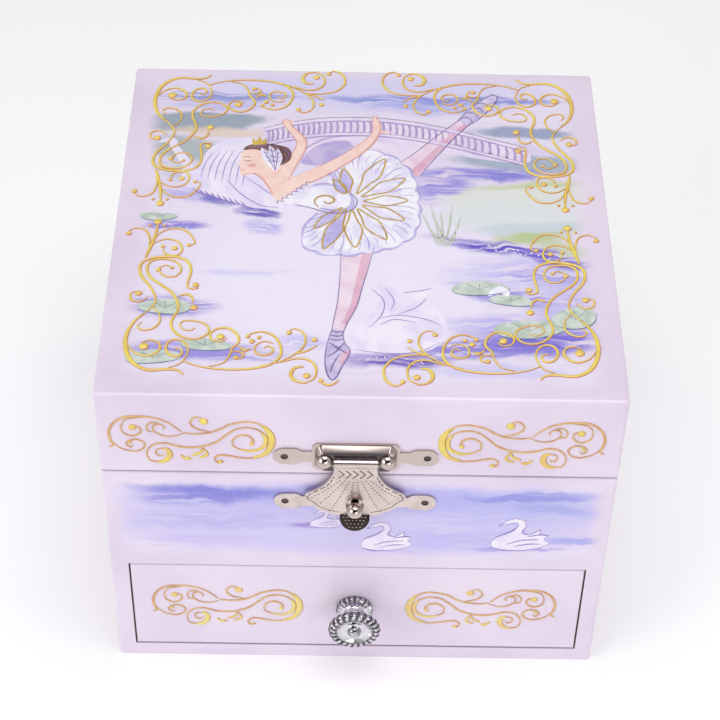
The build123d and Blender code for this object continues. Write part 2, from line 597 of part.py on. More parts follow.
def figure_drive():
    half_step = 180 / GEAR_TEETH
    idler = gear(GEAR_TEETH, GEAR_MODULE, GEAR_WIDTH, 1.0 + RUNNING, half_step)
    save("idler_gear", Pos(0, IDLER_Y, FIGURE_GEAR_Z) * idler)
    post = rod_z(0, IDLER_Y, FLOOR_TOP, 47.0, 1.0) + rod_z(0, IDLER_Y, FLOOR_TOP, FIGURE_GEAR_Z - 0.2, 2.5)
    save("idler_post", post + rod_z(0, IDLER_Y, FIGURE_GEAR_Z + GEAR_WIDTH + 0.2, 46.8, 1.8))

    spindle = rod_z(0, SPINDLE_Y, FLOOR_TOP + 0.3, PLATFORM_TOP + VELVET + 3.6, SPINDLE_R)
    spindle += Pos(0, SPINDLE_Y, FIGURE_GEAR_Z) * gear(GEAR_TEETH, GEAR_MODULE, GEAR_WIDTH, SPINDLE_R)
    save("figure_spindle", spindle)
    lower = rod_z(0, SPINDLE_Y, FLOOR_TOP, FIGURE_GEAR_Z - 0.4, 4.0)
    upper = rod_z(0, SPINDLE_Y, PLATFORM_UNDER, PLATFORM_TOP + VELVET + 0.2, BUSH_R)
    bore = rod_z(0, SPINDLE_Y, 0, HEIGHT, SPINDLE_R + RUNNING)
    save("spindle_bushes", lower - bore, upper - bore)


# ---------------------------------------------------------------- dancer

def dancer():
    base = PLATFORM_TOP + VELVET + 0.6
    stand = rod_z(0, SPINDLE_Y, base, base + 1.2, 11.0)
    stand = fillet(stand.edges().sort_by(Axis.Z)[-1], 0.6)
    stand += Pos(0, SPINDLE_Y, base + 2.4) * Cone(8.5, 4.0, 2.4)
    stand += rod_z(0, SPINDLE_Y, base + 3.5, SPRING_FOOT_Z, 3.0)
    bore = rod_z(0, SPINDLE_Y, 0, PLATFORM_TOP + VELVET + 3.6, SPINDLE_R)
    save("dancer_pedestal", stand - bore)

    # The spring bends through a quarter turn when the lid folds the dancer down.
    foot_y = SPINDLE_Y - SPRING_BEND_R
    foot_z = SPRING_FOOT_Z + SPRING_BEND_R
    bend_centre = Pos(0, foot_y, SPRING_FOOT_Z)
    ring = bend_centre * Rot(0, 90, 0) * Torus(SPRING_BEND_R, 2.2)
    corner = block(-5, 5, foot_y, SPINDLE_Y + 5, SPRING_FOOT_Z, foot_z + 5)
    save("figure_spring", ring & corner)

    body = rod_y(0, foot_z, foot_y - 16.0, foot_y, 1.3)
    body += Pos(0, foot_y - 21.5, foot_z) * Rot(90, 0, 0) * Cone(2.0, 3.0, 11.0)
    body += rod_y(0, foot_z, foot_y - 30.0, foot_y - 26.0, 1.2)
    body += Pos(0, foot_y - 31.5, foot_z) * Sphere(2.5)
    for side in (-1, 1):
        body += Pos(side * 3.6, foot_y - 31.2, foot_z) * Rot(90, 0, side * 6) * Cylinder(0.8, 11.0)
    waist_gap = rod_y(0, foot_z, foot_y - 20.6, foot_y - 18.0, 4.0)
    waist = rod_y(0, foot_z, foot_y - 21, foot_y - 17, 1.5)
    body -= waist_gap - waist
    save("dancer_figure", body)
    tutu = rod_y(0, foot_z, foot_y - 20.5, foot_y - 18.1, TUTU_R)
    save("dancer_tutu", tutu - rod_y(0, foot_z, foot_y - 21, foot_y - 17, 1.6))


def stop_plunger():
    """A pin that the closed lid holds down, with a wire that reaches over to the fly."""
    pin = rod_z(PLUNGER_X, PLUNGER_Y, WIRE_Z - 1.0, SEAM - 0.2, 1.0)
    reach_y = 50.2
    wire = rod_y(PLUNGER_X, WIRE_Z, reach_y, PLUNGER_Y, WIRE_R)
    wire += rod_x(reach_y, WIRE_Z, WORM_X, PLUNGER_X, WIRE_R)
    wire += rod_z(WORM_X, reach_y, WORM_Z + 3.7, WIRE_Z, WIRE_R)
    for x in (WORM_X, PLUNGER_X):
        wire += Pos(x, reach_y, WIRE_Z) * Sphere(WIRE_R)
    save("stop_plunger", pin + wire)


case_boards()
compartment()
lid()
lid_hinges()
latch()
drawer()
movement_frame()
comb()
spring_barrel()
winding_key()
pinned_cylinder()
governor()
figure_drive()
dancer()
stop_plunger()
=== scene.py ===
import json
from math import cos, hypot, pi, radians, sin

import bpy
from mathutils import Matrix, Vector
from mathutils.geometry import tessellate_polygon


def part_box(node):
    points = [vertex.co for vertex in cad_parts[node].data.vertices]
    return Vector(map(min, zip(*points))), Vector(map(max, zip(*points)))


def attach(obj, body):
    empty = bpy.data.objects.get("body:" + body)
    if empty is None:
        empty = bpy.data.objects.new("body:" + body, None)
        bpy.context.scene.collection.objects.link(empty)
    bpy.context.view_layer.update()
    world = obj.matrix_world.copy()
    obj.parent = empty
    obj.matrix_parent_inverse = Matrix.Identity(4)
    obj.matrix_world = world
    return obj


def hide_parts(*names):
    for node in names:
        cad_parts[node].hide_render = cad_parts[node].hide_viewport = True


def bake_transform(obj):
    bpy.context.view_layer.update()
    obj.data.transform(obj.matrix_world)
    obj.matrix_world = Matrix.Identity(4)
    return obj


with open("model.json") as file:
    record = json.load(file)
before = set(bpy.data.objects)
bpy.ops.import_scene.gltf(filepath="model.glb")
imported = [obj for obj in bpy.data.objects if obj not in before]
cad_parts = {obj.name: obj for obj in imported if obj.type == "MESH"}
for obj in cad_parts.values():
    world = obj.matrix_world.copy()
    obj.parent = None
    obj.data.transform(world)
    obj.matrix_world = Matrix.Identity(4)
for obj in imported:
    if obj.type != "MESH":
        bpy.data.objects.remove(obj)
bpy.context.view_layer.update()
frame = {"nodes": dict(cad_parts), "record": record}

MM = 0.001


# ---------------------------------------------------------------- places taken from the frame

LID_LOW, LID_HIGH = (Vector(corner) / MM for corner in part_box("lid_cover_paper"))
FLAP_LOW, FLAP_HIGH = (Vector(corner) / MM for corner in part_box("latch_flap"))
KNOB_LOW, KNOB_HIGH = (Vector(corner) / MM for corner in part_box("drawer_knob"))
TOP_Z = LID_HIGH.z
FRONT_Y = LID_LOW.y
LATCH_X = (FLAP_LOW.x + FLAP_HIGH.x) / 2

# The latch flap, in millimetres: its sheet's outer face stands off the box, and the finger tab bends out at
# 45 degrees from the foot of the sheet.
FLAP_STAND_OFF = 1.6
TAB_Y, TAB_Z = -61.53, 57.28
TAB_SLOPE = 0.7071
FLAP_FOOT_Z = 57.0
STUD_Z = 60.6


# ---------------------------------------------------------------- colour and node helpers

def srgb(red, green, blue):
    """An 8-bit screen colour as a linear one."""
    def linear(value):
        value /= 255
        return value / 12.92 if value <= 0.04045 else ((value + 0.055) / 1.055) ** 2.4
    return (linear(red), linear(green), linear(blue), 1.0)


class Shader:
    """A material under construction, with short calls for its nodes."""

    def __init__(self, name, colour, roughness, metallic=0.0, coat=0.0, coat_roughness=0.1, sheen=0.0):
        self.material = bpy.data.materials.new(name)
        self.material.use_nodes = True
        self.material.diffuse_color = colour
        self.nodes = self.material.node_tree.nodes
        self.bsdf = self.nodes["Principled BSDF"]
        values = {"Base Color": colour, "Roughness": roughness, "Metallic": metallic,
                  "Coat Weight": coat, "Coat Roughness": coat_roughness, "Sheen Weight": sheen}
        for socket, value in values.items():
            self.bsdf.inputs[socket].default_value = value
        self.object_place = self.add("ShaderNodeTexCoord").outputs["Object"]

    def add(self, kind, **settings):
        node = self.nodes.new(kind)
        for key, value in settings.items():
            setattr(node, key, value)
        return node

    def feed(self, socket, value):
        if isinstance(value, bpy.types.NodeSocket):
            self.material.node_tree.links.new(value, socket)
        else:
            socket.default_value = value

    def millimetres(self, scale=(1, 1, 1), turn=(0, 0, 0)):
        """Object coordinates in millimetres, stretched by scale."""
        node = self.add("ShaderNodeMapping")
        self.feed(node.inputs["Vector"], self.object_place)
        node.inputs["Rotation"].default_value = turn
        node.inputs["Scale"].default_value = tuple(value / MM for value in scale)
        return node.outputs["Vector"]

    def noise(self, place, scale, detail=3.0, distortion=0.0, colour=False):
        node = self.add("ShaderNodeTexNoise")
        self.feed(node.inputs["Vector"], place)
        node.inputs["Scale"].default_value = scale
        node.inputs["Detail"].default_value = detail
        node.inputs["Distortion"].default_value = distortion
        return node.outputs["Color" if colour else "Fac"]

    def spread(self, value, low, high, to_low=0.0, to_high=1.0):
        node = self.add("ShaderNodeMapRange", interpolation_type="SMOOTHSTEP")
        self.feed(node.inputs["Value"], value)
        node.inputs["From Min"].default_value = low
        node.inputs["From Max"].default_value = high
        node.inputs["To Min"].default_value = to_low
        node.inputs["To Max"].default_value = to_high
        return node.outputs["Result"]

    def maths(self, operation, first, second=None):
        node = self.add("ShaderNodeMath", operation=operation)
        self.feed(node.inputs[0], first)
        if second is not None:
            self.feed(node.inputs[1], second)
        return node.outputs[0]

    def mix(self, factor, first, second):
        node = self.add("ShaderNodeMix", data_type="RGBA")
        self.feed(node.inputs[0], factor)
        self.feed(node.inputs[6], first)
        self.feed(node.inputs[7], second)
        return node.outputs[2]

    def bump(self, height, strength, distance_mm):
        node = self.add("ShaderNodeBump")
        node.inputs["Strength"].default_value = strength
        node.inputs["Distance"].default_value = distance_mm * MM
        self.feed(node.inputs["Height"], height)
        self.feed(self.bsdf.inputs["Normal"], node.outputs["Normal"])

    def colour(self, value):
        self.feed(self.bsdf.inputs["Base Color"], value)

    def roughness(self, value):
        self.feed(self.bsdf.inputs["Roughness"], value)

    def split(self, vector):
        node = self.add("ShaderNodeSeparateXYZ")
        self.feed(node.inputs[0], vector)
        return node.outputs

    def normal(self):
        """The surface normal in the piece's own frame, so that print, and the painted shade on the gold, stay
        put when the piece turns.
        """
        node = self.add("ShaderNodeVectorTransform", vector_type="NORMAL", convert_from="WORLD",
                        convert_to="OBJECT")
        self.feed(node.inputs[0], self.add("ShaderNodeNewGeometry").outputs["Normal"])
        return self.split(node.outputs[0])


def wash(shader, place, colour, stroke, streaks):
    """One soft-edged dab of watercolour laid over colour: an ellipse with a ragged rim."""
    centre, radii, turn, tint, strength, softness, streaky = stroke
    local = shader.add("ShaderNodeMapping", vector_type="TEXTURE")
    shader.feed(local.inputs["Vector"], place)
    local.inputs["Location"].default_value = (centre[0], centre[1], 0)
    local.inputs["Rotation"].default_value = (0, 0, radians(turn))
    local.inputs["Scale"].default_value = (radii[0], radii[1], 1e6)
    length = shader.add("ShaderNodeVectorMath", operation="LENGTH")
    shader.feed(length.inputs[0], local.outputs["Vector"])
    amount = shader.spread(length.outputs["Value"], 1.0, 1.0 - softness, 0.0, strength)
    if streaky:
        amount = shader.maths("MULTIPLY", amount, streaks)
    return shader.mix(amount, colour, srgb(*tint))


# ---------------------------------------------------------------- the printed paper

LILAC = (231, 217, 236)
LILAC_DEEP = (223, 207, 230)

# Each dab: centre, radii, turn in degrees, colour, strength, softness, and whether it breaks into streaks.
LAKE = [
    ((-4, -18), (52, 40), 0, (238, 231, 249), 0.9, 0.5, False),
    ((36, -18), (22, 8), 0, (194, 188, 240), 0.75, 0.8, True),
    ((48, -30), (14, 16), 0, (184, 176, 238), 0.7, 0.8, True),
    ((34, -36), (24, 5), 0, (176, 168, 236), 0.8, 0.8, True),
    ((0, 52), (62, 12), 0, (214, 210, 243), 0.9, 0.6, False),
    ((-36, 48), (24, 2.4), 0, (128, 140, 205), 0.85, 0.5, True),
    ((20, 48), (40, 2.2), 0, (122, 134, 214), 0.8, 0.5, True),
    ((18, 45), (26, 4.5), 0, (160, 166, 232), 0.7, 0.7, True),
    ((-38, 45), (20, 4), 0, (178, 176, 230), 0.6, 0.7, True),
    ((-42, 37.5), (21, 4.6), 3, (140, 157, 172), 0.85, 0.35, False),
    ((-36, 33.5), (17, 2.6), -3, (226, 205, 186), 0.75, 0.6, False),
    ((-45, 27), (12, 6), -8, (146, 168, 164), 0.7, 0.5, False),
    ((-46, 18), (9, 7), 0, (176, 184, 205), 0.6, 0.7, True),
    ((42, 35), (17, 3), -3, (132, 150, 184), 0.8, 0.45, False),
    ((36, 29), (20, 4), -12, (205, 194, 226), 0.5, 0.7, False),
    ((40, 23), (22, 4), -5, (150, 168, 188), 0.8, 0.45, False),
    ((30, 18.5), (27, 3.4), 0, (134, 128, 216), 0.95, 0.7, True),
    ((20, 13), (12, 8), 20, (148, 138, 222), 0.9, 0.8, True),
    ((40, 12.4), (21, 4.2), 9, (196, 210, 160), 0.9, 0.5, False),
    ((40, 9.6), (25, 5), 6, (224, 226, 224), 0.95, 0.3, False),
    ((38, 2), (27, 6.5), 0, (222, 226, 230), 0.9, 0.4, False),
    ((42, -2.2), (19, 3.4), 4, (200, 212, 220), 0.8, 0.5, False),
    ((41, -5.6), (14, 3.4), 6, (184, 200, 132), 0.85, 0.7, False),
    ((48, -9), (9, 3.6), -22, (192, 206, 158), 0.7, 0.7, False),
    ((33, -9.4), (22, 3.0), -12, (104, 92, 200), 1.0, 0.7, True),
    ((46, -13), (13, 3.6), -18, (112, 98, 208), 1.0, 0.7, True),
    ((44, -20), (17, 3.4), -4, (170, 160, 230), 0.7, 0.7, True),
    ((-40, 9), (15, 4), -4, (172, 166, 230), 0.7, 0.7, True),
    ((-34, 7), (8, 2.6), -8, (96, 88, 188), 0.75, 0.6, True),
    ((-25, 2.4), (8, 2.2), -4, (104, 88, 190), 0.95, 0.5, True),
    ((-24, -2.5), (7, 4), 0, (172, 166, 236), 0.8, 0.7, True),
    ((-46, -2.6), (10, 2.0), 0, (124, 112, 212), 0.8, 0.6, True),
    ((-28, -19), (16, 1.8), 0, (204, 202, 242), 0.7, 0.7, True),
    ((-46, -31), (15, 4.6), 0, (138, 126, 214), 0.85, 0.6, True),
    ((-38, -46), (26, 4.2), -2, (140, 128, 218), 0.85, 0.6, True),
    ((-14, -43), (8, 3.4), 0, (186, 180, 238), 0.7, 0.7, True),
    ((32, -25.5), (16, 4), -14, (146, 134, 220), 0.85, 0.6, True),
    ((42, -41), (26, 6.0), 0, (122, 108, 214), 1.0, 0.8, True),
    ((30, -44), (26, 4), 4, (132, 118, 214), 0.85, 0.6, True),
    ((8, -48.2), (17, 3.2), 2, (104, 84, 188), 1.0, 0.7, True),
    ((30, -51), (20, 3.2), 0, (206, 202, 244), 0.8, 0.7, False),
]

SHORE = [
    ((0, 53.5), (76, 18), 0, (206, 197, 240), 0.9, 0.4, False),
    ((0, 61), (72, 7), 0, (180, 176, 237), 0.9, 0.8, False),
    ((-34, 63.0), (28, 3.2), -2, (124, 126, 216), 1.0, 0.8, False),
    ((-38, 60.6), (18, 3.8), 0, (130, 126, 214), 0.9, 0.8, True),
    ((34, 59), (40, 9), 0, (176, 178, 238), 0.7, 0.8, True),
    ((22, 47), (26, 6), 0, (186, 180, 238), 0.8, 0.8, True),
    ((40, 62), (20, 2.6), 2, (142, 144, 224), 0.9, 0.6, True),
    ((46, 58), (12, 2.0), -4, (156, 160, 230), 0.7, 0.6, True),
    ((0, 64), (24, 2.0), 0, (176, 170, 232), 0.8, 0.6, True),
    ((-32, 53), (34, 6), 0, (186, 176, 234), 0.85, 0.8, True),
    ((-10, 51), (8, 1.4), 0, (146, 124, 204), 0.85, 0.6, True),
    ((30, 53), (26, 2.4), 0, (194, 186, 240), 0.7, 0.7, True),
    ((38, 43.6), (13, 1.3), 0, (160, 148, 222), 0.8, 0.6, True),
    ((52, 46.5), (10, 2.2), 0, (160, 160, 232), 0.8, 0.6, True),
    ((8, 42), (9, 1.3), 0, (182, 168, 226), 0.7, 0.6, True),
    ((-36, 45.6), (22, 2.0), 0, (198, 184, 236), 0.7, 0.7, True),
]


def printed_paper(name, dabs, across, up, inside, facing):
    """Lacquered lilac paper with a watercolour panel that fades out before the paper's edges."""
    shader = Shader(name, srgb(*LILAC), 0.38, coat=0.35, coat_roughness=0.22)
    raw = shader.millimetres()
    parts = shader.split(raw)
    flat = shader.add("ShaderNodeCombineXYZ")
    shader.feed(flat.inputs["X"], across(shader, parts))
    shader.feed(flat.inputs["Y"], up(parts))
    drift = shader.add("ShaderNodeVectorMath", operation="MULTIPLY_ADD")
    shader.feed(drift.inputs[0], shader.noise(flat.outputs["Vector"], 0.13, 5.0, 0.4, colour=True))
    drift.inputs[1].default_value = (9.0, 4.6, 0.0)
    centred = shader.add("ShaderNodeVectorMath", operation="ADD")
    centred.inputs[1].default_value = (-4.5, -2.3, 0.0)
    shader.feed(centred.inputs[0], flat.outputs["Vector"])
    shader.feed(drift.inputs[2], centred.outputs["Vector"])
    place = drift.outputs["Vector"]
    stretched = shader.add("ShaderNodeMapping")
    shader.feed(stretched.inputs["Vector"], place)
    stretched.inputs["Scale"].default_value = (0.07, 0.85, 1.0)
    streaks = shader.spread(shader.noise(stretched.outputs["Vector"], 1.0, 6.0, 0.3), 0.32, 0.53)

    mottled = shader.mix(shader.spread(shader.noise(raw, 0.035, 4.0), 0.35, 0.7), srgb(*LILAC),
                         srgb(*LILAC_DEEP))
    water = shader.mix(shader.spread(streaks, 0.0, 1.0, 0.15, 0.6), mottled, srgb(233, 227, 248))
    picture = water
    for dab in dabs:
        picture = wash(shader, place, picture, dab, streaks)
    granules = shader.noise(flat.outputs["Vector"], 1.9, 4.0)
    picture = shader.mix(shader.spread(granules, 0.52, 0.72, 0.0, 0.16), picture, srgb(242, 238, 250))
    edge = inside(shader, flat.outputs["Vector"], place)
    amount = shader.maths("MULTIPLY", edge, facing(shader))
    shader.colour(shader.mix(amount, mottled, picture))
    shader.bump(shader.noise(raw, 2.6, 6.0), 0.10, 0.06)
    shader.roughness(shader.spread(shader.noise(raw, 0.2, 3.0), 0.3, 0.7, 0.32, 0.44))
    return shader.material


def frame_mask(half_width, middle, half_height, softness):
    """A soft-edged rectangle in the flat coordinates of a face."""
    def mask(shader, flat, place):
        blended = shader.add("ShaderNodeVectorMath", operation="ADD")
        shader.feed(blended.inputs[0], flat)
        shader.feed(blended.inputs[1], place)
        parts = shader.split(blended.outputs["Vector"])
        across = shader.maths("ABSOLUTE", shader.maths("MULTIPLY", parts[0], 0.5))
        up = shader.maths("MULTIPLY", parts[1], 0.5)
        up = shader.maths("ABSOLUTE", shader.maths("SUBTRACT", up, middle))
        sides = shader.spread(across, half_width, half_width - softness)
        ends = shader.spread(up, half_height, half_height - softness)
        return shader.maths("MULTIPLY", sides, ends)
    return mask


def top_facing(shader):
    return shader.maths("GREATER_THAN", shader.normal()[2], 0.5)


def wall_facing(shader):
    return shader.maths("LESS_THAN", shader.maths("ABSOLUTE", shader.normal()[2]), 0.5)


def along_wall(shader, parts):
    """X on the front and back, Y on the two sides."""
    sideways = shader.maths("GREATER_THAN", shader.maths("ABSOLUTE", shader.normal()[0]), 0.5)
    node = shader.add("ShaderNodeMix", data_type="FLOAT")
    shader.feed(node.inputs[0], sideways)
    shader.feed(node.inputs[2], parts[0])
    shader.feed(node.inputs[3], parts[1])
    return node.outputs[0]


def plain_paper(name, light, deep):
    shader = Shader(name, srgb(*light), 0.38, coat=0.35, coat_roughness=0.22)
    place = shader.millimetres()
    shader.colour(shader.mix(shader.spread(shader.noise(place, 0.05, 4.0), 0.35, 0.7), srgb(*light),
                             srgb(*deep)))
    shader.bump(shader.noise(place, 2.6, 6.0), 0.10, 0.06)
    shader.roughness(shader.spread(shader.noise(place, 0.2, 3.0), 0.3, 0.7, 0.32, 0.44))
    return shader.material


# ---------------------------------------------------------------- other finishes

def flat_ink(name, colour, shade, grain=0.9):
    """Printed ink: its colour drifts like a watercolour fill."""
    shader = Shader(name, srgb(*colour), 0.42, coat=0.3, coat_roughness=0.25)
    place = shader.millimetres()
    patches = shader.noise(place, 0.35 * grain, 4.0, 0.6)
    shader.colour(shader.mix(shader.spread(patches, 0.36, 0.64), srgb(*colour), srgb(*shade)))
    return shader.material


def gold_ink_with_painted_shade(name, up_axis, pale=0.0):
    """Embossed gold print: yellow on top, with painted shade in amber on the flanks that face right and down.
    up_axis is 1 for print on the lid's top, where up the picture is +Y, and 2 for print on the front."""
    shader = Shader(name, srgb(236, 200, 92), 0.42, coat=0.25, coat_roughness=0.3)
    normal = shader.normal()
    # Painted shade: the amber share grows on flanks that face right and down, and on flanks that tilt away
    # from the face.
    slope = shader.maths("SUBTRACT", normal[0], normal[up_axis])
    out_axis = 3 - up_axis
    flank = shader.maths("SUBTRACT", 1.25, shader.maths("ABSOLUTE", normal[out_axis]))
    slope = shader.maths("ADD", shader.maths("MULTIPLY", slope, 0.7), flank)
    patches = shader.noise(shader.millimetres(), 0.16, 3.0)
    body = shader.mix(shader.spread(patches, 0.35, 0.65), srgb(236, 216, 100), srgb(228, 194, 104))
    gold_with_painted_shade = shader.mix(shader.spread(slope, 0.38, 1.05), body, srgb(200, 140, 92))
    shader.colour(shader.mix(pale, gold_with_painted_shade, srgb(236, 220, 200)))
    return shader.material


def nickel(name, tone, roughness, grain=0.06):
    shader = Shader(name, srgb(*tone), roughness, metallic=1.0)
    place = shader.millimetres()
    smear = shader.noise(place, 0.25, 4.0, 0.4)
    darker = tuple(value * 0.93 for value in tone)
    shader.colour(shader.mix(shader.spread(smear, 0.35, 0.7), srgb(*tone), srgb(*darker)))
    shader.roughness(shader.spread(smear, 0.3, 0.7, roughness * 0.8, roughness * 1.4))
    shader.bump(shader.noise(place, 5.0, 4.0), grain, 0.05)
    return shader.material


def polished(name, bright, groove_shade):
    """Plated metal with painted shade: darker in its grooves and hollows."""
    shader = Shader(name, srgb(*bright), 0.08, metallic=1.0)
    point = shader.add("ShaderNodeNewGeometry").outputs["Pointiness"]
    haze = shader.noise(shader.millimetres(), 0.5, 3.0)
    # Painted shade: pointiness picks out the grooves, which take the dark groove colour.
    shader.colour(shader.mix(shader.spread(point, 0.46, 0.53), srgb(*groove_shade), srgb(*bright)))
    shader.roughness(shader.spread(haze, 0.3, 0.7, 0.05, 0.12))
    return shader.material


def board_finish(name, light, deep):
    shader = Shader(name, srgb(*light), 0.85)
    fibres = shader.noise(shader.millimetres((0.5, 0.5, 2.5)), 1.2, 6.0)
    shader.colour(shader.mix(shader.spread(fibres, 0.35, 0.68), srgb(*light), srgb(*deep)))
    shader.bump(fibres, 0.25, 0.12)
    return shader.material


def velvet(name, light, deep):
    shader = Shader(name, srgb(*light), 0.95, sheen=0.9)
    place = shader.millimetres()
    nap = shader.noise(place, 0.06, 3.0, 0.5)
    pile = shader.noise(place, 7.0, 3.0)
    shader.colour(shader.mix(shader.spread(nap, 0.36, 0.66), srgb(*light), srgb(*deep)))
    shader.bump(pile, 0.5, 0.25)
    return shader.material


def woven(name, light, deep, pitch_mm, roughness=0.5, sheen=0.5):
    """Satin or net: two crossing sets of threads."""
    shader = Shader(name, srgb(*light), roughness, sheen=sheen)
    place = shader.millimetres()
    height = None
    for axis in (0, 1, 2):
        parts = shader.split(place)
        wave = shader.maths("SINE", shader.maths("MULTIPLY", parts[axis], 2 * pi / pitch_mm))
        height = wave if height is None else shader.maths("ADD", height, wave)
    drift = shader.noise(place, 0.25, 4.0)
    shader.colour(shader.mix(shader.spread(drift, 0.35, 0.68), srgb(*light), srgb(*deep)))
    shader.bump(height, 0.3, 0.05)
    return shader.material


def moulded(name, light, roughness=0.3):
    shader = Shader(name, srgb(*light), roughness, coat=0.2)
    place = shader.millimetres()
    patches = shader.noise(place, 0.4, 3.0)
    deep = tuple(value * 0.95 for value in light)
    shader.colour(shader.mix(shader.spread(patches, 0.35, 0.7), srgb(*light), srgb(*deep)))
    shader.bump(shader.noise(place, 3.0, 3.0), 0.05, 0.05)
    return shader.material


FINISH = {
    "lid_paper": printed_paper(
        "lid_paper", LAKE, lambda shader, parts: parts[0], lambda parts: parts[1],
        frame_mask(56.5, 1.0, 59.5, 7.0), top_facing),
    "case_paper": printed_paper(
        "case_paper", SHORE, along_wall, lambda parts: parts[2],
        frame_mask(59.0, 53.5, 15.2, 5.0), wall_facing),
    "drawer_paper": plain_paper("drawer_paper", (231, 218, 236), (225, 210, 232)),
    "board": board_finish("board", (186, 160, 128), (150, 124, 96)),
    "velvet": velvet("velvet", (186, 156, 212), (170, 138, 200)),
    "satin": woven("satin", (238, 226, 242), (232, 218, 239), 0.35),
    "nickel": nickel("nickel", (214, 200, 194), 0.2),
    # Dark nickel: the hinge pin and nails, and painted shade on the latch's pressed pattern and on its bent
    # finger tab.
    "dark_nickel_and_shade": nickel("dark_nickel_and_shade", (96, 86, 84), 0.35),
    # The second colour of chrome and of the nickel plate is painted shade in their grooves.
    "chrome": polished("chrome", (232, 230, 236), (96, 92, 100)),
    # The latch's upper plate and stud: the latch's nickel in a darker tone as painted shade, with painted
    # shade in its grooves.
    "shaded_nickel_plate": polished("shaded_nickel_plate", (196, 182, 176), (84, 76, 76)),
    "steel": nickel("steel", (176, 178, 182), 0.3),
    "brass": nickel("brass", (216, 176, 98), 0.28),
    "white_plastic": moulded("white_plastic", (236, 232, 240)),
    "gold_lid": gold_ink_with_painted_shade("gold_lid_print_and_shade", 1),
    "gold_front": gold_ink_with_painted_shade("gold_front_print_and_shade", 2),
    "amber": flat_ink("amber_print", (222, 184, 122), (208, 158, 112)),
    "gold_drawer": gold_ink_with_painted_shade("gold_drawer_print_and_shade", 2, 0.18),
}

NODE_FINISH = {
    "lid_cover_paper": "lid_paper", "case_cover_paper": "case_paper", "drawer_front_paper": "drawer_paper",
    "lid_front_rail": "satin", "lid_back_rail": "satin", "lid_side_rails": "satin",
    "wall_lining": "satin", "lid_lining": "satin", "compartment_velvet": "velvet", "drawer_lining": "velvet",
    "pinned_cylinder": "brass", "cylinder_arbor_gears": "brass", "governor_wheel": "brass",
    "mainspring_barrel": "brass", "spindle_bushes": "brass", "idler_gear": "white_plastic",
    "figure_spindle": "white_plastic", "dancer_pedestal": "white_plastic",
    "latch_ball_stud": "shaded_nickel_plate", "latch_upper_plate": "shaded_nickel_plate", "latch_hinge_pin": "dark_nickel_and_shade",
    "latch_upper_nails": "dark_nickel_and_shade", "latch_lower_nails": "dark_nickel_and_shade",
}
SLOT_FINISH = {"greyboard": "board", "nickel": "nickel", "steel": "steel", "chrome": "chrome",
               "velvet": "velvet", "brass": "brass", "white_plastic": "white_plastic"}


def dress_nodes():
    """Gives every CAD node its finish."""
    slot_of = {part["node"]: part["material_slot"] for part in frame["record"]["subparts"]}
    mirror = Shader("mirror", srgb(225, 230, 232), 0.03, metallic=1.0)
    haze = mirror.noise(mirror.millimetres(), 0.05, 3.0)
    mirror.roughness(mirror.spread(haze, 0.3, 0.7, 0.02, 0.05))
    for name, obj in frame["nodes"].items():
        finish = NODE_FINISH.get(name) or SLOT_FINISH.get(slot_of[name])
        chosen = mirror.material if name == "lid_mirror" else FINISH.get(finish, FINISH["steel"])
        obj.data.materials.clear()
        obj.data.materials.append(chosen)


dress_nodes()


# ---------------------------------------------------------------- printed shapes and raised lines

def curve(points, steps=7, closed=False):
    """A smooth line through the points. Any further values in a point, such as a width, go along."""
    count = len(points)
    result = []
    spans = count if closed else count - 1
    for span in range(spans):
        if closed:
            four = [points[(span + k) % count] for k in (-1, 0, 1, 2)]
        else:
            four = [points[min(max(span + k, 0), count - 1)] for k in (-1, 0, 1, 2)]
        for step in range(steps):
            t = step / steps
            weights = (-t + 2 * t * t - t ** 3, 2 - 5 * t * t + 3 * t ** 3,
                       t + 4 * t * t - 3 * t ** 3, t ** 3 - t * t)
            result.append(tuple(sum(w * p[axis] for w, p in zip(weights, four)) / 2
                                for axis in range(len(points[0]))))
    if not closed:
        result.append(tuple(points[-1]))
    return result


FACES = {
    "top": lambda u, v, h: (u * MM, v * MM, (TOP_Z + h) * MM),
    "front": lambda u, v, h: (u * MM, (FRONT_Y - h) * MM, v * MM),
    "flap": lambda u, v, h: (u * MM, (FRONT_Y - FLAP_STAND_OFF - h) * MM, v * MM),
    "tab": lambda u, v, h: (u * MM, (TAB_Y - TAB_SLOPE * (v + h)) * MM, (TAB_Z - TAB_SLOPE * (v - h)) * MM),
}


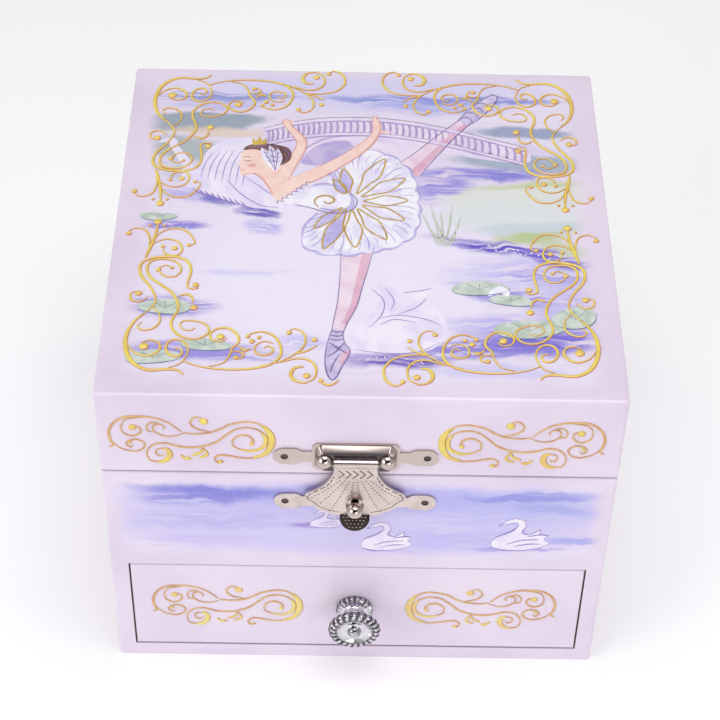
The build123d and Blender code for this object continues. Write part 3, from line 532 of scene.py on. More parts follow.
class Layer:
    """Printed shapes of one ink on one face of one body, gathered into one mesh."""

    all = {}
    filled = 0

    def __init__(self, name, face, body, material):
        self.name = name
        self.face = FACES[face]
        self.body = body
        self.material = material
        self.slot = "nickel" if body == "latch_flap" else "lilac_paper"
        self.verts = []
        self.polys = []
        self.flat = set()
        Layer.all[name] = self

    def put(self, verts, polys):
        start = len(self.verts)
        self.verts += verts
        self.polys += [[start + index for index in poly] for poly in polys]

    def fill(self, outline, height):
        """A thin flat shape with a skirt down to the face. Each lies a hair above the one before."""
        height += 0.0013 * (Layer.filled % 12)
        Layer.filled += 1
        first = len(self.polys)
        area = sum(a[0] * b[1] - b[0] * a[1] for a, b in zip(outline, outline[1:] + outline[:1]))
        ring = list(outline) if area > 0 else list(reversed(outline))
        count = len(ring)
        verts = [self.face(p[0], p[1], height) for p in ring] + [self.face(p[0], p[1], 0.0) for p in ring]
        triangles = tessellate_polygon([[Vector((p[0], p[1], 0)) for p in ring]])
        polys = []
        for tri in triangles:
            a, b, c = (ring[index] for index in tri)
            turn = (b[0] - a[0]) * (c[1] - a[1]) - (b[1] - a[1]) * (c[0] - a[0])
            up = list(tri) if turn > 0 else list(reversed(tri))
            polys.append(up)
            polys.append([index + count for index in reversed(up)])
        polys += [[k, k + count, (k + 1) % count + count, (k + 1) % count] for k in range(count)]
        self.put(verts, polys)
        self.flat.update(range(first, len(self.polys)))

    def line(self, path, height, base=0.0, sides=6, closed=False):
        """A half-round raised line along path, whose points are (u, v, width)."""
        count = len(path)
        verts = []
        for index, (u, v, width) in enumerate(path):
            before = path[(index - 1) % count] if closed else path[max(index - 1, 0)]
            after = path[(index + 1) % count] if closed else path[min(index + 1, count - 1)]
            along = (after[0] - before[0], after[1] - before[1])
            size = hypot(*along) or 1.0
            across = (-along[1] / size, along[0] / size)
            for side in range(sides):
                angle = pi * side / (sides - 1)
                offset = cos(angle) * width / 2
                lift = base + height * sin(angle) * min(1.0, width / 0.3)
                verts.append(self.face(u + across[0] * offset, v + across[1] * offset, lift))
        polys = []
        for index in range(count if closed else count - 1):
            here = index * sides
            there = (index + 1) % count * sides
            for side in range(sides):
                following = (side + 1) % sides
                polys.append([here + side, here + following, there + following, there + side])
        if not closed:
            polys.append(list(range(sides - 1, -1, -1)))
            polys.append([(count - 1) * sides + side for side in range(sides)])
        self.put(verts, polys)

    def bead(self, u, v, radius, height, base=0.0, around=14, rings=5):
        """A low round dome."""
        verts = [self.face(u, v, base + height)]
        for ring in range(1, rings + 1):
            tilt = pi / 2 * ring / rings
            for step in range(around):
                turn = 2 * pi * step / around
                reach = radius * sin(tilt)
                verts.append(self.face(u + reach * cos(turn), v + reach * sin(turn),
                                       base + height * cos(tilt)))
        polys = [[0, 1 + step, 1 + (step + 1) % around] for step in range(around)]
        for ring in range(rings - 1):
            low = 1 + ring * around
            high = low + around
            for step in range(around):
                after = (step + 1) % around
                polys.append([low + step, high + step, high + after, low + after])
        polys.append([1 + (rings - 1) * around + step for step in range(around - 1, -1, -1)])
        self.put(verts, polys)


def build(name, verts, polys, material, body=None):
    """A mesh object from its corners and faces."""
    mesh = bpy.data.meshes.new(name)
    mesh.from_pydata([tuple(v) for v in verts], [], polys)
    mesh.validate()
    mesh.update()
    mesh.shade_smooth()
    mesh.materials.append(material)
    obj = bpy.data.objects.new(name, mesh)
    bpy.context.scene.collection.objects.link(obj)
    if body:
        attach(obj, body)
    return obj


def tapered(points, width, closed=False, steps=7, thin=0.3, crest=0.5):
    """A smooth path whose width swells from its ends towards crest, a share of its length."""
    path = curve(points, steps, closed)
    last = len(path) - 1
    result = []
    for index, point in enumerate(path):
        t = index / last
        share = t / crest if t < crest else (1 - t) / (1 - crest)
        swell = 1.0 if closed else thin + (1 - thin) * sin(pi / 2 * min(1.0, share))
        result.append((point[0], point[1], width * swell))
    return result


# ---------------------------------------------------------------- gold scrollwork

# Strokes are (width, crest, points), and buds are (x, y, radius), all in millimetres.
SIDE_STROKES = [
    (0.62, 0.72, [(-40.8, 83.2), (-43.5, 86.0), (-46.5, 87.5), (-50.0, 88.0), (-53.5, 87.6), (-56.0, 85.6),
                  (-57.2, 82.5), (-56.9, 79.8), (-56.4, 78.4), (-57.4, 77.7)]),
    (0.42, 0.8, [(-49.0, 87.8), (-52.8, 87.0), (-54.2, 84.9), (-53.9, 82.6), (-51.8, 81.5), (-50.0, 82.7),
                 (-50.1, 84.3), (-51.2, 84.9)]),
    (0.42, 0.5, [(-56.3, 79.2), (-54.8, 77.4), (-51.8, 76.4), (-49.6, 77.4), (-49.3, 79.2), (-50.8, 80.3),
                 (-52.6, 80.0), (-53.5, 78.8), (-52.6, 77.8), (-51.8, 78.3)]),
    (0.34, 0.5, [(-40.2, 82.6), (-42.5, 81.6), (-45.0, 81.8), (-46.9, 83.2), (-46.9, 85.0), (-45.4, 85.5),
                 (-44.4, 84.4), (-44.8, 83.8)]),
    (0.34, 0.5, [(-46.9, 82.9), (-48.2, 83.2), (-48.5, 84.6), (-47.6, 85.9), (-46.2, 86.0), (-45.2, 85.3)]),
    (0.46, 0.5, [(-40.4, 82.8), (-37.5, 82.5), (-34.5, 82.9), (-32.0, 84.1), (-29.5, 85.8), (-25.5, 86.7),
                 (-22.5, 85.7), (-20.5, 83.0)]),
    (1.5, 0.42, [(-22.4, 85.6), (-20.9, 83.6), (-20.2, 81.0), (-20.6, 78.2), (-22.0, 75.9), (-24.5, 74.8)]),
    (0.46, 0.5, [(-22.2, 75.6), (-24.5, 74.7), (-27.5, 74.7), (-30.0, 75.3), (-32.2, 75.5), (-33.4, 74.3),
                 (-32.8, 73.0), (-31.4, 73.3)]),
    (1.3, 0.5, [(-45.2, 77.5), (-44.0, 76.9), (-43.7, 75.0), (-44.8, 73.3), (-46.6, 72.9)]),
    (0.5, 0.5, [(-45.6, 73.0), (-48.2, 73.4), (-48.9, 76.0), (-47.4, 78.6), (-44.8, 79.3), (-42.5, 78.6),
                (-40.0, 78.0), (-36.5, 78.2), (-33.0, 79.8), (-30.8, 82.0), (-28.3, 84.2), (-25.5, 84.8),
                (-22.8, 83.7), (-21.6, 81.3)]),
    (0.95, 0.3, [(-22.6, 83.4), (-21.6, 81.3), (-22.1, 78.6), (-24.6, 77.1), (-27.6, 77.5)]),
    (0.5, 0.75, [(-26.6, 77.2), (-29.0, 78.6), (-29.0, 80.8), (-27.4, 82.2), (-25.4, 81.9), (-24.4, 80.3),
                 (-25.0, 79.0)]),
    (0.34, 0.5, [(-45.2, 77.5), (-46.6, 77.0), (-46.8, 75.6), (-45.6, 75.0), (-45.0, 75.7)]),
    (0.44, 0.5, [(-34.2, 83.3), (-37.2, 84.2), (-38.6, 86.0), (-37.5, 87.9), (-35.9, 87.8)]),
    (0.7, 0.7, [(-36.1, 77.8), (-36.7, 76.2), (-38.6, 75.3)]),
    (0.7, 0.6, [(-35.9, 77.6), (-35.1, 75.6), (-36.9, 74.5)]),
    (0.7, 0.5, [(-41.2, 75.3), (-40.3, 74.3), (-38.7, 74.2)]),
]
SIDE_BUDS = [(-51.7, 84.4, 0.95), (-35.5, 86.6, 1.05), (-24.8, 79.6, 0.6), (-32.2, 73.3, 0.55),
             (-39.6, 74.2, 0.55), (-52.6, 79.4, 0.5)]

CORNER_STROKES = [
    (0.95, 0.62, [(-40.2, -53.6), (-41.5, -52.3), (-44.0, -52.0), (-48.0, -52.3), (-51.0, -50.8),
                  (-53.0, -48.0), (-54.0, -44.0), (-53.8, -40.0), (-52.5, -36.5), (-50.5, -34.0)]),
    (0.72, 0.5, [(-51.4, -35.0), (-49.2, -32.2), (-48.2, -30.0), (-48.6, -27.5), (-50.0, -24.5),
                 (-52.0, -21.5),
                 (-52.8, -18.5), (-52.2, -16.2), (-50.0, -14.8), (-47.0, -14.2), (-44.0, -14.4),
                 (-41.5, -16.0),
                 (-40.6, -19.0), (-41.0, -22.5), (-41.1, -24.6), (-39.8, -25.4), (-38.4, -25.0)]),
    (0.62, 0.5, [(-45.0, -18.3), (-46.4, -17.3), (-48.2, -18.4), (-47.6, -20.2), (-46.0, -21.3),
                 (-44.0, -21.0),
                 (-43.0, -19.0), (-43.6, -16.8), (-45.5, -15.4), (-48.5, -15.2), (-50.6, -16.4),
                 (-51.0, -19.0),
                 (-49.8, -21.8), (-47.2, -24.2), (-44.8, -26.5), (-43.2, -29.5), (-42.8, -32.5),
                 (-43.8, -35.5),
                 (-43.9, -38.2), (-42.2, -40.8), (-39.5, -42.1), (-36.8, -41.6), (-35.2, -39.6),
                 (-36.0, -37.4),
                 (-38.5, -36.2), (-41.0, -36.2), (-42.0, -37.3), (-41.3, -38.9), (-39.6, -39.4),
                 (-38.5, -38.6)]),
    (0.6, 0.5, [(-53.6, -44.0), (-52.0, -46.5), (-49.5, -47.8), (-47.2, -47.2), (-46.0, -45.2),
                (-46.6, -43.4),
                (-48.6, -42.8), (-50.2, -43.6)]),
    (0.6, 0.6, [(-43.6, -51.4), (-41.0, -50.0), (-39.6, -46.5), (-40.2, -43.8), (-42.0, -42.4),
                (-44.0, -43.0),
                (-44.7, -45.0), (-43.8, -47.2), (-42.0, -47.9), (-40.9, -46.8), (-41.4, -45.5),
                (-42.7, -45.5)]),
    (0.62, 0.5, [(-40.6, -49.2), (-38.0, -50.5), (-34.0, -51.5), (-29.0, -51.8), (-24.0, -51.2),
                 (-20.5, -49.8),
                 (-18.6, -47.2), (-18.6, -44.0), (-20.0, -41.0), (-22.5, -39.5), (-25.0, -39.9),
                 (-26.5, -41.0)]),
    (0.6, 0.5, [(-34.5, -50.9), (-31.5, -49.8), (-30.1, -47.3), (-29.6, -45.0), (-28.2, -42.8),
                (-28.8, -40.2),
                (-31.0, -38.4), (-33.5, -38.8), (-34.9, -40.5), (-34.2, -42.4), (-32.3, -42.9),
                (-31.0, -41.8)]),
    (0.5, 0.5, [(-20.3, -43.2), (-22.5, -42.6), (-24.3, -44.0), (-24.2, -46.2), (-22.4, -47.1),
                (-20.5, -46.2),
                (-20.5, -44.7), (-21.6, -44.1), (-22.4, -44.9)]),
    (0.55, 0.6, [(-23.0, -50.6), (-18.0, -49.0), (-14.5, -47.9), (-11.8, -48.6), (-10.3, -51.0),
                 (-10.8, -54.3), (-13.2, -55.8)]),
    (0.85, 0.6, [(-12.4, -55.8), (-15.0, -55.0), (-16.0, -53.0), (-15.2, -51.0), (-13.2, -50.5)]),
    (0.5, 0.4, [(-19.0, -49.3), (-16.0, -47.2), (-13.8, -44.8), (-12.9, -42.0), (-13.6, -39.5),
                (-15.5, -38.3),
                (-17.0, -39.2)]),
    (0.5, 0.3, [(-15.6, -46.6), (-12.5, -45.4), (-10.2, -43.6)]),
    (0.8, 0.3, [(-51.7, -14.7), (-51.0, -11.5), (-50.2, -8.0), (-49.8, -4.5), (-49.7, -2.6)]),
    (0.5, 0.4, [(-51.2, -11.0), (-51.2, -8.0), (-52.2, -5.2), (-54.5, -4.1), (-56.4, -5.2)]),
    (0.5, 0.5, [(-50.0, -8.0), (-48.6, -5.5), (-46.0, -4.1), (-43.2, -4.5), (-41.2, -6.8), (-40.3, -9.2),
                (-41.2, -10.2)]),
    (0.52, 0.6, [(-50.2, -9.8), (-48.5, -8.4), (-46.4, -8.0), (-44.2, -9.0), (-43.2, -11.4), (-44.0, -13.5),
                 (-46.0, -13.8), (-47.5, -12.6), (-47.7, -10.8)]),
    (0.5, 0.5, [(-50.0, -28.4), (-51.8, -30.0), (-53.8, -29.4), (-54.2, -27.4), (-52.8, -26.5)]),
    (0.6, 0.4, [(-43.0, -28.0), (-41.2, -27.2), (-39.8, -28.2), (-39.4, -30.2)]),
    (0.5, 0.5, [(-48.7, -31.8), (-47.0, -34.2), (-46.8, -37.0), (-48.4, -39.0), (-50.6, -39.4),
                (-51.7, -38.2),
                (-50.8, -36.9)]),
    (0.5, 0.5, [(-30.0, -46.2), (-28.0, -46.0), (-26.9, -47.0), (-27.6, -48.2), (-28.8, -48.0)]),
    (0.6, 0.5, [(-28.0, -44.2), (-26.8, -45.6), (-25.4, -45.0)]),
]
CORNER_BUDS = [(-39.2, -24.0, 0.85), (-49.7, -44.8, 1.15), (-32.4, -41.3, 1.0), (-12.4, -53.4, 0.9),
               (-16.8, -39.6, 0.7), (-10.9, -41.8, 0.7), (-49.7, -1.7, 1.05), (-56.4, -6.1, 0.75),
               (-41.7, -10.0, 0.6), (-45.0, -11.2, 0.8), (-47.9, -10.6, 0.55), (-52.3, -27.1, 0.9),
               (-39.1, -31.7, 0.95), (-25.2, -42.6, 0.75), (-23.6, -41.3, 0.6), (-26.6, -45.6, 0.6),
               (-28.6, -48.0, 0.7), (-48.3, -18.9, 0.7), (-45.1, -18.2, 0.5), (-51.6, -3.2, 0.45),
               (-48.1, -3.2, 0.45), (-26.2, -41.0, 0.6)]
# The outermost curl of a corner. The front left one is mostly behind the dancer's foot.
CURL = [(0.6, 0.6, [(-14.6, -46.4), (-10.6, -46.4), (-7.0, -47.8), (-5.0, -50.8), (-5.4, -54.4),
                    (-7.6, -56.2),
                    (-9.4, -55.2)])]
CURL_TAIL = [(0.6, 0.6, [(-5.2, -54.6), (-6.4, -55.9), (-7.8, -56.2), (-9.4, -55.2)])]
CURL_BUDS = [(-9.2, -54.9, 0.65)]


def scroll(layer, strokes, buds, place, relief=0.28):
    """Lays one set of gold strokes, with place moving each point to where it belongs."""
    for width, crest, points in strokes:
        path = [place(u, v) + (size,) for u, v, size in tapered(points, width * 1.2, thin=0.4, crest=crest)]
        layer.line(path, relief)
    for u, v, radius in buds:
        layer.bead(*place(u, v), radius, relief * 1.6)


def gold_scrolls():
    lid_top = Layer("gold_lid_top", "top", "lid", FINISH["gold_lid"])
    back_shift = 3.5
    for side in (1, -1):
        near_curl = CURL_TAIL if side > 0 else CURL
        scroll(lid_top, CORNER_STROKES + near_curl, CORNER_BUDS + CURL_BUDS, lambda u, v: (side * u, v))
        scroll(lid_top, CORNER_STROKES + CURL, CORNER_BUDS + CURL_BUDS, lambda u,
               v: (side * u, back_shift - v))
    wide = [entry for entry in SIDE_STROKES if entry[0] > 0.65]
    thin = [entry for entry in SIDE_STROKES if entry[0] <= 0.65]
    fronts = (("lid", "gold_front", lambda u, v: (u + 0.85, v), -0.85),
              ("drawer", "gold_drawer", lambda u, v: ((u + 6.4) * 0.98, v - 60.2), -0.6))
    for body, ink, place, middle in fronts:
        crescents = Layer("gold_%s_front" % body, "front", body, FINISH[ink])
        lines = Layer("amber_%s_front" % body, "front", body, FINISH["amber"])
        for side in (1, -1):
            def mirrored(u, v):
                u, v = place(u, v)
                return (side * u + middle, v)
            scroll(crescents, wide, SIDE_BUDS, mirrored)
            scroll(lines, thin, [], mirrored)


gold_scrolls()


# ---------------------------------------------------------------- the painted scene on the lid

INK = {
    "skin": flat_ink("skin_print", (247, 220, 210), (244, 208, 200)),
    "skin_shade": flat_ink("skin_shade_print", (234, 162, 158), (228, 176, 168)),
    "hair": flat_ink("hair_print", (142, 108, 104), (104, 74, 76)),
    "tulle": flat_ink("tulle_print", (246, 243, 252), (226, 220, 246), 0.6),
    "tulle_shade": flat_ink("tulle_shade_print", (208, 199, 240), (184, 174, 228), 0.6),
    "line": flat_ink("line_print", (146, 124, 184), (122, 100, 164)),
    "petal": flat_ink("petal_print", (214, 184, 92), (192, 150, 74)),
    "swan": flat_ink("swan_print", (242, 236, 250), (228, 220, 246), 0.4),
    "swan_line": flat_ink("swan_line_print", (164, 146, 212), (140, 124, 200)),
    "tights": flat_ink("tights_print", (240, 222, 236), (230, 200, 222), 0.5),
    "tights_shade": flat_ink("tights_shade_print", (230, 188, 208), (220, 172, 198), 0.5),
    "shoe": flat_ink("shoe_print", (218, 208, 236), (192, 178, 220)),
    "stone": flat_ink("stone_print", (237, 224, 244), (224, 210, 240), 0.5),
    "stone_line": flat_ink("stone_line_print", (196, 172, 218), (178, 154, 210)),
    "arch": flat_ink("arch_print", (206, 190, 226), (184, 170, 220), 0.6),
    "leaf": flat_ink("leaf_print", (212, 220, 214), (186, 200, 188)),
    "leaf_line": flat_ink("leaf_line_print", (128, 142, 168), (112, 124, 160)),
    "reed": flat_ink("reed_print", (222, 226, 214), (196, 206, 180)),
    "spray": flat_ink("spray_print", (248, 247, 255), (236, 234, 252)),
}


def on_lid(ink):
    """The layer of this ink on the lid's top."""
    return Layer.all.get("lid_" + ink) or Layer("lid_" + ink, "top", "lid", INK[ink])


def shape(ink, points, height, steps=6):
    on_lid(ink).fill([p[:2] for p in curve(points, steps, closed=True)], height)


def stroke(ink, points, width, height, closed=False, steps=6, thin=0.35):
    on_lid(ink).line(tapered(points, width, closed, steps, thin), 0.03, height + 0.016, sides=4,
                     closed=closed)


def limb(ink, points, height):
    """A filled band along points given as (x, y, width)."""
    path = curve(points, 6)
    left, right = [], []
    for index, (u, v, width) in enumerate(path):
        before, after = path[max(index - 1, 0)], path[min(index + 1, len(path) - 1)]
        along = Vector((after[0] - before[0], after[1] - before[1])).normalized()
        left.append((u - along.y * width / 2, v + along.x * width / 2))
        right.append((u + along.y * width / 2, v - along.x * width / 2))
    on_lid(ink).fill(left + right[::-1], height)
    return left, right


def oval(ink, centre, radii, turn, height, wobble=0.0):
    points = []
    for step in range(22):
        angle = 2 * pi * step / 22
        size = 1 + wobble * sin(3 * angle + centre[0])
        x, y = radii[0] * size * cos(angle), radii[1] * size * sin(angle)
        points.append((centre[0] + x * cos(turn) - y * sin(turn), centre[1] + x * sin(turn) + y * cos(turn)))
    shape(ink, points, height, 2)
    return points


# Heights above the lid's face, in millimetres, so that nearer things lie over farther ones.
FAR, MID, NEAR, FIGURE, OVER, DETAIL = 0.015, 0.036, 0.072, 0.104, 0.146, 0.180


def bridge():
    rail = [(-25, 34.6), (-18, 37.2), (-10, 38.9), (0, 39.4), (10, 38.4), (20, 35.9), (30, 32.4), (41, 28.2)]
    foot = [(x, y - 6.0) for x, y in rail]
    low = [(41, 23.0), (30, 24.2), (20, 26.4), (10, 24.0), (6, 20.5), (-4, 21.0), (-15, 22.0), (-24, 26.0)]
    shape("stone", rail + low, FAR, 5)
    for line, width in ((rail, 1.25), (foot, 0.8)):
        stroke("stone", [(x, y + 0.2) for x, y in line], width * 1.4, MID + 0.01, thin=0.8)
        stroke("stone_line", [(x, y - 0.55) for x, y in line], width * 0.5, MID + 0.015, thin=0.8)
    top, bottom = curve(rail, 12), curve(foot, 12)
    for index in range(2, len(top) - 1, 2):
        (x, y), (_, y_foot) = top[index][:2], bottom[index][:2]
        stroke("stone_line", [(x, y - 0.8), (x + 0.25, (y + y_foot) / 2), (x, y_foot + 0.3)], 0.62, MID,
               thin=0.7)
    shape("arch", [(-15.4, 21.4), (-14.4, 25.4), (-11.4, 28.8), (-7.0, 30.6), (-3.6, 30.4), (-2.4, 27.0),
                   (-4.0, 23.4), (-9.0, 21.0)], MID)
    stroke("stone_line", [(-16.6, 23.6), (-13.6, 28.4), (-8.8, 31.8), (-3.4, 32.6)], 0.4, MID + 0.01)
    for x in (24, 28, 32, 36):
        stroke("stone_line", [(x, 30.0 - (x - 24) * 0.38), (x + 0.4, 27.6 - (x - 24) * 0.34)], 1.1, MID)


def wading_swans():
    body = [(-44.6, 13.0), (-39.0, 9.6), (-33.0, 6.4), (-28.0, 4.2), (-22.4, 4.2), (-20.4, 6.8),
            (-21.4, 12.0),
            (-26.0, 18.0), (-33.0, 21.0), (-41.0, 20.5), (-44.8, 17.0)]
    shape("swan", body, MID)
    wing = [(-42.0, 15.0), (-40.6, 22.4), (-38.2, 27.6), (-34.6, 30.4), (-30.4, 31.2), (-26.6, 29.8),
            (-27.6, 22.0), (-31.0, 15.0), (-36.0, 12.0)]
    shape("swan", wing, MID + 0.006)
    limb("swan", [(-43.8, 14.0, 3.6), (-43.4, 18.5, 3.0), (-45.6, 23.4, 2.4), (-47.6, 27.2, 2.0),
                  (-48.4, 29.6, 2.2), (-50.2, 29.8, 1.5), (-51.6, 29.0, 0.5)], NEAR)
    for offset in range(7):
        x = -40.4 + offset * 1.75
        stroke("swan_line", [(x, 15.2 - offset * 0.5), (x + 0.7, 20.4),
                             (x + 2.6, 26.4 - abs(offset - 3) * 0.4)],
               0.22, MID + 0.012)
    for offset in range(9):
        x = -42.0 + offset * 1.5
        y = 11.4 - offset * 0.62
        stroke("swan_line", [(x, y), (x + 1.3, y - 1.9), (x + 3.0, y - 2.4)], 0.42, MID + 0.014)
    stroke("swan_line", [(-33.6, 14.4), (-30.4, 9.6), (-25.4, 5.2), (-21.0, 4.4)], 0.3, MID + 0.014)
    stroke("swan_line", [(-29.4, 16.0), (-25.0, 11.6), (-21.6, 8.2)], 0.26, MID + 0.014)

    resting = [(-2.4, -39.4), (0.4, -35.2), (3.0, -31.4), (4.4, -26.6), (3.4, -22.4), (7.2, -24.0),
               (8.8, -26.4), (12.4, -24.4), (16.4, -23.6), (13.8, -28.8), (17.8, -32.0), (19.7, -36.8),
               (18.2, -42.0), (13.6, -45.2), (5.0, -46.0), (-2.0, -44.9)]
    shape("swan", resting, MID)
    for points in ([(2.2, -24.4), (5.0, -28.4), (4.4, -33.4), (1.4, -37.6)],
                   [(5.4, -24.2), (7.4, -28.2), (6.6, -31.6)],
                   [(9.4, -25.6), (14.2, -24.6), (16.2, -23.8)],
                   [(15.0, -27.4), (12.6, -30.4), (8.4, -32.8)],
                   [(3.8, -34.4), (8.4, -33.2), (14.6, -34.4), (18.4, -36.6)],
                   [(4.0, -36.6), (7.4, -34.6), (12.4, -35.6)],
                   [(-1.6, -44.8), (5.4, -45.8), (12.8, -45.2), (18.0, -41.8)]):
        stroke("swan_line", points, 0.26, MID + 0.012)


def water_plants():
    pads = [((27.6, -23.6), (6.8, 2.5), 0.04), ((34.8, -27.6), (5.2, 1.9), -0.1),
            ((38.6, -37.2), (8.6, 3.0), 0.08),
            ((49.4, -33.2), (5.4, 3.6), 0.3), ((-49.8, 0.4), (4.6, 1.5), 0.0),
            ((-45.8, -31.4), (6.2, 2.6), 0.0),
            ((-35.8, -43.8), (6.0, 2.0), -0.08), ((-47.4, -48.0), (6.4, 2.2), 0.1)]
    for centre, radii, turn in pads:
        rim = oval("leaf", centre, radii, turn, MID, 0.05)
        stroke("leaf_line", rim[12:] + rim[:1], 0.32, MID + 0.012)
        for share in (-0.5, 0.0, 0.5):
            stroke("leaf_line", [(centre[0], centre[1] - radii[1] * 0.2),
                                 (centre[0] + radii[0] * share, centre[1] + radii[1] * 0.7)], 0.14,
                   MID + 0.012)
    petals = [(30.6, -25.6, 0.9), (31.8, -25.2, 0.5), (33.0, -25.4, 0.1), (29.6, -26.2, 1.3),
              (34.0, -26.2, -0.3)]
    for x, y, lean in petals:
        shape("spray", [(x, y), (x - 1.0 + lean, y + 1.5), (x + lean, y + 2.6), (x + 0.9 + lean, y + 1.3)],
              NEAR)
    for step, (tip_x, tip_y) in enumerate([(14.6, 2.4), (16.6, 6.2), (19.0, 3.6), (21.8, 6.0), (23.8, 1.6),
                                           (17.8, 0.4), (22.6, -2.4), (15.8, -2.2)]):
        foot_x = 18.0 + step * 0.35
        stroke("reed", [(foot_x, -9.0), ((foot_x + tip_x) / 2 + 0.5, (tip_y - 9) / 2 - 1.0), (tip_x, tip_y)],
               0.5, NEAR, thin=0.2)
    for step in range(26):
        x = 30 + (step * 7.3) % 16
        y = -9.0 - (x - 30) * 0.22 + 0.8 * sin(step * 2.4)
        on_lid("spray").bead(x, y, 0.14 + 0.07 * (step % 3), 0.03, MID, 8, 2)
    for step in range(20):
        x = 1 + (step * 5.3) % 14
        on_lid("spray").bead(x, -48.4 + 1.3 * sin(step * 1.9), 0.13 + 0.06 * (step % 3), 0.03, MID, 8, 2)
    for step in range(30):
        x = -54 + (step * 4.7) % 12
        y = -2.2 + 1.4 * sin(step * 2.1)
        on_lid("spray").bead(x, y, 0.11 + 0.05 * (step % 3), 0.03, MID, 8, 2)


TUTU_CENTRE = (-3.0, 7.0)
TUTU_RIM = [(119, 11.4), (110, 13.5), (100, 17.0), (92, 19.6), (82, 20.6), (68, 20.8), (54, 20.3), (40, 19.3),
            (20, 17.6), (0, 17.0), (-16, 17.8), (-32, 19.2), (-46, 20.0), (-60, 19.8), (-75, 19.5),
            (-90, 19.9),
            (-105, 20.6), (-118, 20.8), (-128, 19.2), (-136, 16.0), (-143, 12.8), (-151, 9.4)]
TUTU_PETALS = [(117, 9.4, 1.2), (99, 12.6, 1.5), (63, 18.6, 1.9), (34, 16.2, 1.9), (3, 14.0, 1.8),
               (-27, 14.7, 1.8),
               (-58, 16.4, 1.9), (-86, 17.0, 2.0), (-110, 18.8, 1.9), (-131, 13.6, 1.3)]


def from_tutu(angle, reach):
    return (TUTU_CENTRE[0] + reach * cos(radians(angle)), TUTU_CENTRE[1] + reach * sin(radians(angle)))


def painted_tutu():
    rim = curve(TUTU_RIM, 10)
    scallops = [from_tutu(a, r - 0.75 + 0.75 * abs(sin(radians(a) * 11))) for a, r in rim]
    outline = scallops + [(-9.5, 3.6), (-9.0, 10.5)]
    on_lid("tulle").fill(outline, FIGURE)
    frill = [(u, v, 0.3 + 0.55 * abs(sin(radians(a) * 7))) for (u, v), (a, _) in zip(scallops, rim)]
    on_lid("tulle_shade").line(frill, 0.03, FIGURE - 0.01, 4)
    inner = [from_tutu(a, r - 2.6 + 0.5 * sin(radians(a) * 17)) + (0.22,) for a, r in rim]
    on_lid("tulle_shade").line(inner, 0.012, FIGURE, 4)
    for step in range(0, len(rim) - 1, 5):
        angle, reach = rim[step]
        start = 0.64 + 0.08 * sin(step * 1.7)
        stroke("tulle_shade", [from_tutu(angle, start * reach), from_tutu(angle + 1.5, 0.8 * reach),
                               from_tutu(angle - 1, 0.93 * reach)], 0.2 + 0.1 * (step % 3), FIGURE + 0.008)
    for angle, reach, half in TUTU_PETALS:
        side = half / reach * 57.3 / 0.62
        petal = [from_tutu(angle, 3.2), from_tutu(angle + side * 0.8, reach * 0.42),
                 from_tutu(angle + side, reach * 0.66), from_tutu(angle, reach),
                 from_tutu(angle - side, reach * 0.66), from_tutu(angle - side * 0.8, reach * 0.42)]
        stroke("petal", petal, 0.42, OVER, closed=True)
        if abs(angle) > 90:
            shape("tulle_shade", petal, FIGURE + 0.006)


# The painted head, facing left. Points are (back from the face, up from the chin) as shares of the head's
# height. Brow, nose base and chin are a third of the face apart. The eye is halfway up the head, and the
# mouth is a third of the way from the nose base to the chin.
HEAD_FRONT, HEAD_CHIN, HEAD_HEIGHT = -31.0, 16.3, 11.8
PROFILE = [(0.09, 0.86), (0.03, 0.74), (0.01, 0.58), (0.04, 0.50), (-0.01, 0.40), (-0.05, 0.32),
           (0.02, 0.287),
           (0.01, 0.23), (0.03, 0.191), (0.02, 0.15), (0.04, 0.11), (0.03, 0.05), (0.09, 0.0), (0.30, 0.05),
           (0.46, 0.08), (0.64, 0.14), (0.78, 0.44), (0.78, 0.70), (0.64, 0.90), (0.42, 1.0), (0.22, 0.97)]
HAIR = [(0.08, 0.84), (0.10, 0.94), (0.24, 1.04), (0.50, 1.08), (0.80, 1.03), (1.02, 0.93), (1.10, 0.72),
        (1.05, 0.50), (0.90, 0.37), (0.76, 0.36), (0.70, 0.58), (0.54, 0.78), (0.28, 0.87)]
HEAD_LINES = [("hair", [(0.09, 0.505), (0.14, 0.475), (0.20, 0.475), (0.25, 0.50)], 0.26),
              ("hair", [(0.06, 0.585), (0.15, 0.615), (0.26, 0.59)], 0.18),
              ("skin_shade", [(0.03, 0.191), (0.08, 0.185), (0.13, 0.20)], 0.3)]


def on_head(back, up):
    return (HEAD_FRONT + back * HEAD_HEIGHT, HEAD_CHIN + up * HEAD_HEIGHT)


